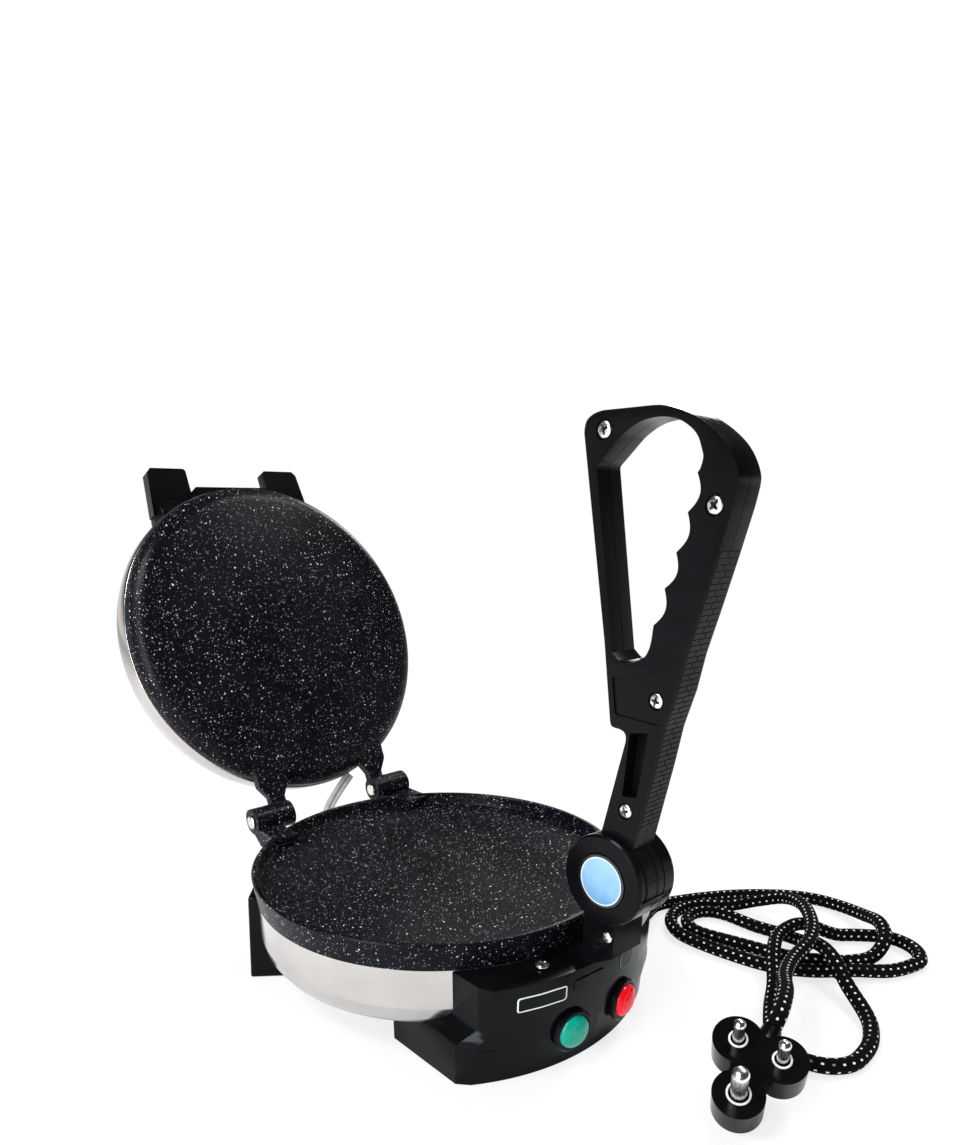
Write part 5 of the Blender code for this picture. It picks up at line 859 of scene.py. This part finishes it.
def eased(points, closed=False, reach=0.0022):
    """The same outline with its corners cut into small curves; an open one keeps its ends.

    Sides up to ROUND_SIDE long that meet at a slight bend are taken as one curve.
    """
    dense = []
    count = len(points)
    for i in range(count if closed else count - 1):
        a = points[i]
        b = points[(i + 1) % count]
        dense.append(a)
        length = (b - a).length
        before = a - points[i - 1] if closed or i > 0 else b - a
        after = points[(i + 2) % count] - b if closed or i < count - 2 else b - a
        if length <= reach * SHORT_SIDE:
            continue
        if length > ROUND_SIDE or (b - a).angle(before) > SLIGHT_BEND:
            dense.append(a.lerp(b, reach / length))
        if length > ROUND_SIDE or (b - a).angle(after) > SLIGHT_BEND:
            dense.append(a.lerp(b, 1 - reach / length))
    if not closed:
        dense.append(points[-1])
    for _ in range(CORNER_CUTS):
        cut = [] if closed else [dense[0]]
        count = len(dense)
        for i in range(count if closed else count - 1):
            a = dense[i]
            b = dense[(i + 1) % count]
            cut += [a.lerp(b, CUT_SHARE), a.lerp(b, 1 - CUT_SHARE)]
        if not closed:
            cut.append(dense[-1])
        dense = cut
    kept = [dense[0]]
    for point in dense[1:]:
        if (point - kept[-1]).length > LEAST_SIDE:
            kept.append(point)
    return kept


def flat_arc(radius, start, end, steps):
    return [Vector(circle_point(radius, start + (end - start) * k / steps)) for k in range(steps + 1)]


def hub_arcs(outer, inner, inset=0):
    """Round the hub from the neck's front to its back, with a smaller radius below the two steps."""
    return (flat_arc(outer, NECK_FRONT_TURN + inset, STEP_FRONT_TURN - inset, 16)
            + flat_arc(inner, STEP_FRONT_TURN - inset, STEP_BACK_TURN + inset, 40)
            + flat_arc(outer, STEP_BACK_TURN + inset, NECK_BACK_TURN + 360 - inset, 14))


def grip_opening():
    """The grip's opening, with a wave for each finger."""
    points = eased(shares_to_plane(OPENING_SHARES + CUSP_SHARES[:1]))[:-1]
    cusps = shares_to_plane(CUSP_SHARES)
    for a, b in zip(cusps, cusps[1:]):
        side = Vector(((b - a).y, -(b - a).x)).normalized() * SCALLOP_DEPTH
        for k in range(SCALLOP_STEPS):
            share = k / SCALLOP_STEPS
            points.append(a.lerp(b, share) + side * math.sin(math.pi * share))
    points += eased([cusps[-1]] + shares_to_plane(THROAT_SHARES + OPENING_SHARES[:1]))[:-1]
    return points


def handle_outline():
    back = Vector(circle_point(HUB_OUTER, NECK_BACK_TURN))
    front = Vector(circle_point(NECK_FRONT_REACH, NECK_FRONT_TURN))
    points = eased([back] + shares_to_plane(OUTER_SHARES) + [front])
    return points + hub_arcs(HUB_OUTER, HUB_INNER)[1:-1]


def slab_object(name, rings, *levels):
    """An outline with holes in the handle's plane, filled between two levels along X."""
    low, high = sorted(levels)
    data = bpy.data.curves.new(name, "CURVE")
    data.dimensions = "2D"
    data.fill_mode = "BOTH"
    data.extrude = (high - low) / 2
    for ring in rings:
        spline = data.splines.new("POLY")
        spline.points.add(len(ring) - 1)
        for point, place in zip(spline.points, ring):
            point.co = (place[0], place[1], 0, 1)
        spline.use_cyclic_u = True
    turn = Matrix(((0, 0, 1), (1, 0, 0), (0, 1, 0))).to_4x4()
    curve = link_object(name, data)
    mesh = made_mesh(curve)
    bpy.data.objects.remove(curve, do_unlink=True)
    mesh.transform(Matrix.Translation(HUB) @ turn @ Matrix.Translation((0, 0, (low + high) / 2)))
    bm = bmesh.new()
    bm.from_mesh(mesh)
    bmesh.ops.remove_doubles(bm, verts=bm.verts, dist=SAME_PLACE)
    bpy.data.meshes.remove(mesh)
    return add_object(name, bm)


def bar_object(name, start, end, radius, segments=48):
    bm = bmesh.new()
    bmesh.ops.create_cone(bm, cap_ends=True, segments=segments, radius1=radius, radius2=radius,
                          depth=(end - start).length)
    turn = (end - start).to_track_quat("Z", "Y").to_matrix().to_4x4()
    bmesh.ops.transform(bm, matrix=Matrix.Translation((start + end) / 2) @ turn, verts=bm.verts)
    return add_object(name, bm)


def rim_bevel(item, level, width, segments):
    """Rounds the outline's edges on the face at one level across the handle."""
    mesh = item.data
    weights = mesh.attributes.new("bevel_weight_edge", "FLOAT", "EDGE")
    bm = bmesh.new()
    bm.from_mesh(mesh)
    flagged = []
    for edge in bm.edges:
        flat = all(abs(vert.co.x - level) < SAME_PLACE for vert in edge.verts)
        flagged.append(1.0 if flat and edge.calc_face_angle(0.0) > RIM_TURN else 0.0)
    bm.free()
    for index, weight in enumerate(flagged):
        weights.data[index].value = weight
    bevel = item.modifiers.new("rim", "BEVEL")
    bevel.limit_method = "WEIGHT"
    bevel.width = width
    bevel.segments = segments


def combine(item, others, operation="DIFFERENCE"):
    """Cuts other shapes from an item or joins them to it, and keeps what its modifiers made."""
    for other in others:
        modifier = item.modifiers.new(other.name, "BOOLEAN")
        modifier.operation = operation
        modifier.solver = "EXACT"
        modifier.object = other
    mesh = made_mesh(item)
    item.modifiers.clear()
    item.data = mesh
    for other in others:
        bpy.data.objects.remove(other, do_unlink=True)


def finish_piece(item, node, body, material, angle):
    """Makes a built shape the look of a CAD node."""
    item.data.materials.clear()
    item.data.materials.append(material)
    shade(item, angle)
    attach(item, body)
    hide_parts(node)


def screw_sinks():
    """A round sink for each handle screw. The third one lies in the sunk panel."""
    sinks = []
    for number, (y, z) in enumerate(SCREW_SHARES, 1):
        depth = SINK_DEPTH + (PANEL_DEPTH if number == 3 else 0.0)
        place = HUB + Vector((0, y * HANDLE_REACH, z * HANDLE_REACH))
        sinks.append(bar_object("sink", place - SIDEWAYS * (HANDLE_THICK - depth),
                                place - SIDEWAYS * (HANDLE_THICK + CUT_OVERRUN), SINK_RADIUS))
    return sinks


def make_handle_halves():
    rings = [handle_outline(), grip_opening()]
    for side, label in ((-1, "left"), (1, "right")):
        half = slab_object("handle_" + label + "_shown", rings, side * HANDLE_SEAM, side * HANDLE_THICK)
        rim_bevel(half, side * HANDLE_THICK, RIM_ROUNDING, 4)
        over = side * (HANDLE_THICK + CUT_OVERRUN)
        cutters = []
        for name, shares, corner, depth in CUTS:
            outline = eased(shares_to_plane(shares), True, corner)
            cutters.append(slab_object(name, [outline], side * (HANDLE_THICK - depth), over))
        cutters.append(bar_object("bore", HUB - BORE_REACH, HUB + BORE_REACH, BORE_RADIUS))
        if side < 0:
            boss = slab_object("boss", [hub_arcs(BOSS_OUTER, BOSS_INNER, BOSS_INSET)], BOSS_FACE, BOSS_BACK)
            combine(half, [boss], "UNION")
            cutters += screw_sinks()
        else:
            cutters.append(bar_object("relief", HUB + RELIEF_START, HUB + RELIEF_END, RELIEF_RADIUS, 96))
        combine(half, cutters)
        soften(half, SEAM_ROUNDING, 2, 30.0)
        finish_piece(half, "handle_half_" + label, "press_handle", HANDLE_BLACK, 30.0)


make_handle_halves()


# Cross-head screws

# Half of the head's section, from its top to its shank, in head radii
HEAD_RISE = 0.46
HEAD_SECTION = (
    (0.0, HEAD_RISE), (0.30, 0.452), (0.56, 0.425), (0.76, 0.37), (0.90, 0.28), (0.98, 0.17), (1.0, 0.06),
    (1.0, 0.0), (0.45, 0.0), (0.45, -0.6), (0.0, -0.6),
)
HEAD_SIDES = 40
CROSS_ARM = 0.62
CROSS_HALF = 0.19
CROSS_TIP = 0.11
CROSS_TOP = (1.1, 0.6)
CROSS_FLOOR = (0.66, -0.12)
FIRST_SPIN = 17
SPIN_STEP = 31


def head_object():
    """A domed head on a short shank."""
    bm = bmesh.new()
    rings = []
    for radius, height in HEAD_SECTION:
        if radius == 0.0:
            rings.append([bm.verts.new((0, 0, height))])
            continue
        turns = [360 * k / HEAD_SIDES for k in range(HEAD_SIDES)]
        rings.append([bm.verts.new((*circle_point(radius, turn), height)) for turn in turns])
    for a, b in zip(rings, rings[1:]):
        for k in range(HEAD_SIDES):
            after = (k + 1) % HEAD_SIDES
            if len(a) == 1:
                bm.faces.new((a[0], b[k], b[after]))
            elif len(b) == 1:
                bm.faces.new((a[k], b[0], a[after]))
            else:
                bm.faces.new((a[k], b[k], b[after], a[after]))
    return add_object("screw", bm)


def cross_object():
    """The tapered cross that the driver fits."""
    plus = []
    quarter = [(CROSS_ARM, -CROSS_TIP), (CROSS_ARM, CROSS_TIP), (CROSS_HALF, CROSS_HALF)]
    for _ in range(4):
        plus += quarter
        quarter = [(-y, x) for x, y in quarter]
    bm = bmesh.new()
    rings = []
    for scale, height in (CROSS_TOP, CROSS_FLOOR):
        rings.append([bm.verts.new((x * scale, y * scale, height)) for x, y in plus])
    stitch(bm, rings[::-1])
    bm.faces.new(rings[0])
    bm.faces.new(rings[1][::-1])
    return add_object("cross", bm)


def screw_mesh():
    """A head of radius 1 with the cross cut into it."""
    item = head_object()
    combine(item, [cross_object()])
    mesh = item.data
    bpy.data.objects.remove(item, do_unlink=True)
    return mesh


def set_screws():
    """Each visible screw takes its size and place from its CAD node and stops at its own turn."""
    shape = screw_mesh()
    visible = [("handle_screw_%d" % k, "press_handle", 0, -1) for k in range(1, 5)]
    visible += [("bracket_screw", "base", 0, -1), ("shoulder_screw_left", "base", 2, 1),
                ("shoulder_screw_right", "base", 2, 1)]
    for number, (node, body, axis, way) in enumerate(visible):
        low, high = (Vector(corner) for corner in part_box(node))
        aside = 1 if axis == 0 else 0
        radius = (high - low)[aside] / 2
        out = Vector((0, 0, 0))
        out[axis] = way
        seat = (low + high) / 2
        seat[axis] = (high if way > 0 else low)[axis] - way * radius * HEAD_RISE
        turn = out.to_track_quat("Z", "Y").to_matrix().to_4x4()
        spin = Matrix.Rotation(math.radians(FIRST_SPIN + SPIN_STEP * number), 4, "Z")
        mesh = shape.copy()
        mesh.transform(Matrix.Translation(seat) @ turn @ spin @ Matrix.Scale(radius, 4))
        item = link_object(node + "_shown", mesh)
        finish_piece(item, node, body, NICKEL, 35.0)


set_screws()


# Grip ribs on the handle's front edge, laid like bricks

FRONT_EDGE_SHARES = [(-0.2069, 0.7450)] + OUTER_SHARES[-7:] + [(-0.0745, 0.1400)]
RIB_PITCH = 0.0022
RIB_GAP = 0.00035
RIB_PROUD = 0.00028
RIB_SUNK = 0.0002
RIB_SIDE = 0.0061
RIB_STAGGER = 0.0011
RIB_CHAMFER = 0.00012
RIB_SHOULDER = 0.4


def make_rib(bm, feet, rise):
    """A block on a foot of four corners, its top drawn in a little."""
    tops = [foot + rise for foot in feet]
    centre = sum(tops, Vector()) / 4
    drawn = [top + (centre - top).normalized() * RIB_CHAMFER for top in tops]
    lifted = [top.lerp(foot, RIB_SHOULDER) for top, foot in zip(tops, feet)]
    rings = [[bm.verts.new(place) for place in ring] for ring in (feet, lifted, drawn)]
    stitch(bm, rings)
    bm.faces.new(rings[0][::-1])
    bm.faces.new(rings[2])


def make_ribs():
    edge = [Vector((0, y * HANDLE_REACH, z * HANDLE_REACH)) for y, z in FRONT_EDGE_SHARES]
    rows = polyline(edge, RIB_PITCH)
    bm = bmesh.new()
    for number, (a, b) in enumerate(zip(rows, rows[1:])):
        ahead = (b - a).normalized()
        out = Vector((0, ahead.z, -ahead.y))
        if out.y > 0:
            out = -out
        split = RIB_STAGGER if number % 2 else -RIB_STAGGER
        for low, high in ((-RIB_SIDE, split - RIB_GAP / 2), (split + RIB_GAP / 2, RIB_SIDE)):
            start = a + ahead * RIB_GAP / 2
            end = b - ahead * RIB_GAP / 2
            corners = ((start, low), (start, high), (end, high), (end, low))
            feet = [HUB + place - out * RIB_SUNK + Vector((x, 0, 0)) for place, x in corners]
            make_rib(bm, feet, out * (RIB_SUNK + RIB_PROUD))
    make_piece("grip_ribs", bm, HANDLE_BLACK, "press_handle", 20.0)


make_ribs()


# Panels on the hub's round side

PANEL_STARTS = (126.5, 148.0, 169.5)
PANEL_TURN = 20.6
PANEL_STEPS = 8
PANEL_SPANS = ((-0.0066, -0.0005), (0.0005, 0.0046))
PANEL_FOOT = 0.0199
PANEL_SHOULDER = 0.02026
PANEL_FACE = 0.02036
PANEL_CHAMFER = 0.00012
# Radius and inset of a panel's foot, shoulder and face
PANEL_LAYERS = ((PANEL_FOOT, 0.0), (PANEL_SHOULDER, 0.0), (PANEL_FACE, PANEL_CHAMFER))


def panel_ring(low, high, start, radius, inset):
    """A curved oblong round the hub, drawn in by the inset on all sides."""
    sides = []
    for x in (low + inset, high - inset):
        row = []
        for step in range(PANEL_STEPS + 1):
            turn = start + PANEL_TURN * step / PANEL_STEPS
            turn += math.degrees(inset / radius) * {0: 1, PANEL_STEPS: -1}.get(step, 0)
            row.append(HUB + Vector((x, *circle_point(radius, turn))))
        sides.append(row)
    return sides[0] + sides[1][::-1]


def make_hub_panels():
    bm = bmesh.new()
    for start in PANEL_STARTS:
        for low, high in PANEL_SPANS:
            layers = []
            for radius, inset in PANEL_LAYERS:
                layers.append([bm.verts.new(point) for point in panel_ring(low, high, start, radius, inset)])
            stitch(bm, layers)
            count = len(layers[0])
            for layer in (layers[0], layers[-1]):
                for k in range(PANEL_STEPS):
                    bm.faces.new((layer[k], layer[k + 1], layer[count - 2 - k], layer[count - 1 - k]))
    make_piece("hub_panels", bm, HANDLE_BLACK, "press_handle", 30.0)


make_hub_panels()


# Blank plates and rings on the control box

BOX_MESH = bpy.data.objects["control_box"].data
BOX_TREE = BVHTree.FromPolygons([v.co.copy() for v in BOX_MESH.vertices],
                                [tuple(p.vertices) for p in BOX_MESH.polygons])
BEFORE_BOX = -0.30
SUNK = -0.0002
PLATE_HEIGHT = 0.0003
STRIP_HEIGHT = 0.0007
BORDER_HEIGHT = 0.0005
BORDER_SHOULDER = 0.7 * BORDER_HEIGHT
BORDER_DRAW = (0.985, 0.97)
PLATE_SHOULDER = 0.6
PLATE_SCALES = (0.985, 0.75, 0.5, 0.25)
OUTLINE_SPACING = 0.002


def rounded_box(width, height, radius, steps=6):
    """An oblong with round corners, with close points along its sides."""
    points = []
    for cx, cy, start in ((1, 1, 0), (-1, 1, 90), (-1, -1, 180), (1, -1, 270)):
        for step in range(steps + 1):
            u, v = circle_point(radius, start + 90 * step / steps)
            points.append((cx * (width / 2 - radius) + u, cy * (height / 2 - radius) + v))
    dense = []
    for a, b in zip(points, points[1:] + points[:1]):
        parts = max(1, math.ceil(math.dist(a, b) / OUTLINE_SPACING))
        for part in range(parts):
            share = part / parts
            dense.append((a[0] + (b[0] - a[0]) * share, a[1] + (b[1] - a[1]) * share))
    return dense


def place_ring(bm, centre, outline, lift):
    """Lays an outline on the box's front, lifted off it by this much."""
    ring = []
    for u, v in outline:
        before = Vector((centre[0] + u, BEFORE_BOX, centre[1] + v))
        place = BOX_TREE.ray_cast(before, Vector((0, 1, 0)))[0]
        out = Vector((place.x, place.y - PLATE_AXIS.y, 0)).normalized()
        ring.append(bm.verts.new(place + out * lift))
    return ring


def box_frame(name, centre, outer, inner, material):
    """A thin raised border on the box's front."""
    drawn = [(u * BORDER_DRAW[0], v * BORDER_DRAW[1]) for u, v in outer]
    bm = bmesh.new()
    layers = ((outer, SUNK), (outer, BORDER_SHOULDER), (drawn, BORDER_HEIGHT),
              (inner, BORDER_HEIGHT), (inner, SUNK))
    rings = [place_ring(bm, centre, outline, lift) for outline, lift in layers]
    stitch(bm, rings + rings[:1])
    make_piece(name, bm, material, "base", 50.0)


def box_plate(name, centre, outline, height):
    """A thin blank plate on the box's front."""
    bm = bmesh.new()
    rings = [place_ring(bm, centre, outline, SUNK), place_ring(bm, centre, outline, height * PLATE_SHOULDER)]
    for scale in PLATE_SCALES:
        rings.append(place_ring(bm, centre, [(u * scale, v * scale) for u, v in outline], height))
    stitch(bm, rings)
    bm.faces.new(rings[-1])
    bm.faces.new(rings[0][::-1])
    make_piece(name, bm, BLACK, "base", 50.0)


BADGE = (-0.0338, 0.0405)
STRIP = (-0.0080, 0.0418)
RING = (0.0200, 0.0418)
box_plate("badge_plate", BADGE, rounded_box(0.0245, 0.0078, 0.0016), PLATE_HEIGHT)
box_frame("badge_border", BADGE, rounded_box(0.0242, 0.0076, 0.0015), rounded_box(0.0229, 0.0063, 0.0010),
          PALE_LINE)
box_plate("control_strip", STRIP, rounded_box(0.0200, 0.0062, 0.0030), STRIP_HEIGHT)
box_plate("round_plate", RING, rounded_box(0.0126, 0.0126, 0.0062, 10), PLATE_HEIGHT)
box_frame("round_border", RING, rounded_box(0.0120, 0.0120, 0.0059, 10),
          rounded_box(0.0112, 0.0112, 0.0055, 10), GREEN_LINE)


# Pale rings round the plug's pins: a painted highlight of the edges round their bases

# A highlight ring's section: reach past its pin, and height over the plug's face
HIGHLIGHT_RING_SECTION = (
    (0.0007, -0.0002), (0.0007, 0.0004), (0.0009, 0.0006),
    (0.0014, 0.0006), (0.0016, 0.0004), (0.0016, -0.0002),
)
HIGHLIGHT_RING_SIDES = 40


def make_pin_highlight_rings():
    bm = bmesh.new()
    for _, (x, y), pin in PIN_PLACES:
        rings = []
        for past, height in HIGHLIGHT_RING_SECTION:
            ring = []
            for k in range(HIGHLIGHT_RING_SIDES):
                across, along = circle_point(pin + past, 360 * k / HIGHLIGHT_RING_SIDES)
                ring.append(bm.verts.new(PLUG_PLACE @ Vector((x + across, y + along, height))))
            rings.append(ring)
        stitch(bm, rings + rings[:1])
    make_piece("pin_rings", bm, PIN_HIGHLIGHT_RING, "base", 40.0)


make_pin_highlight_rings()
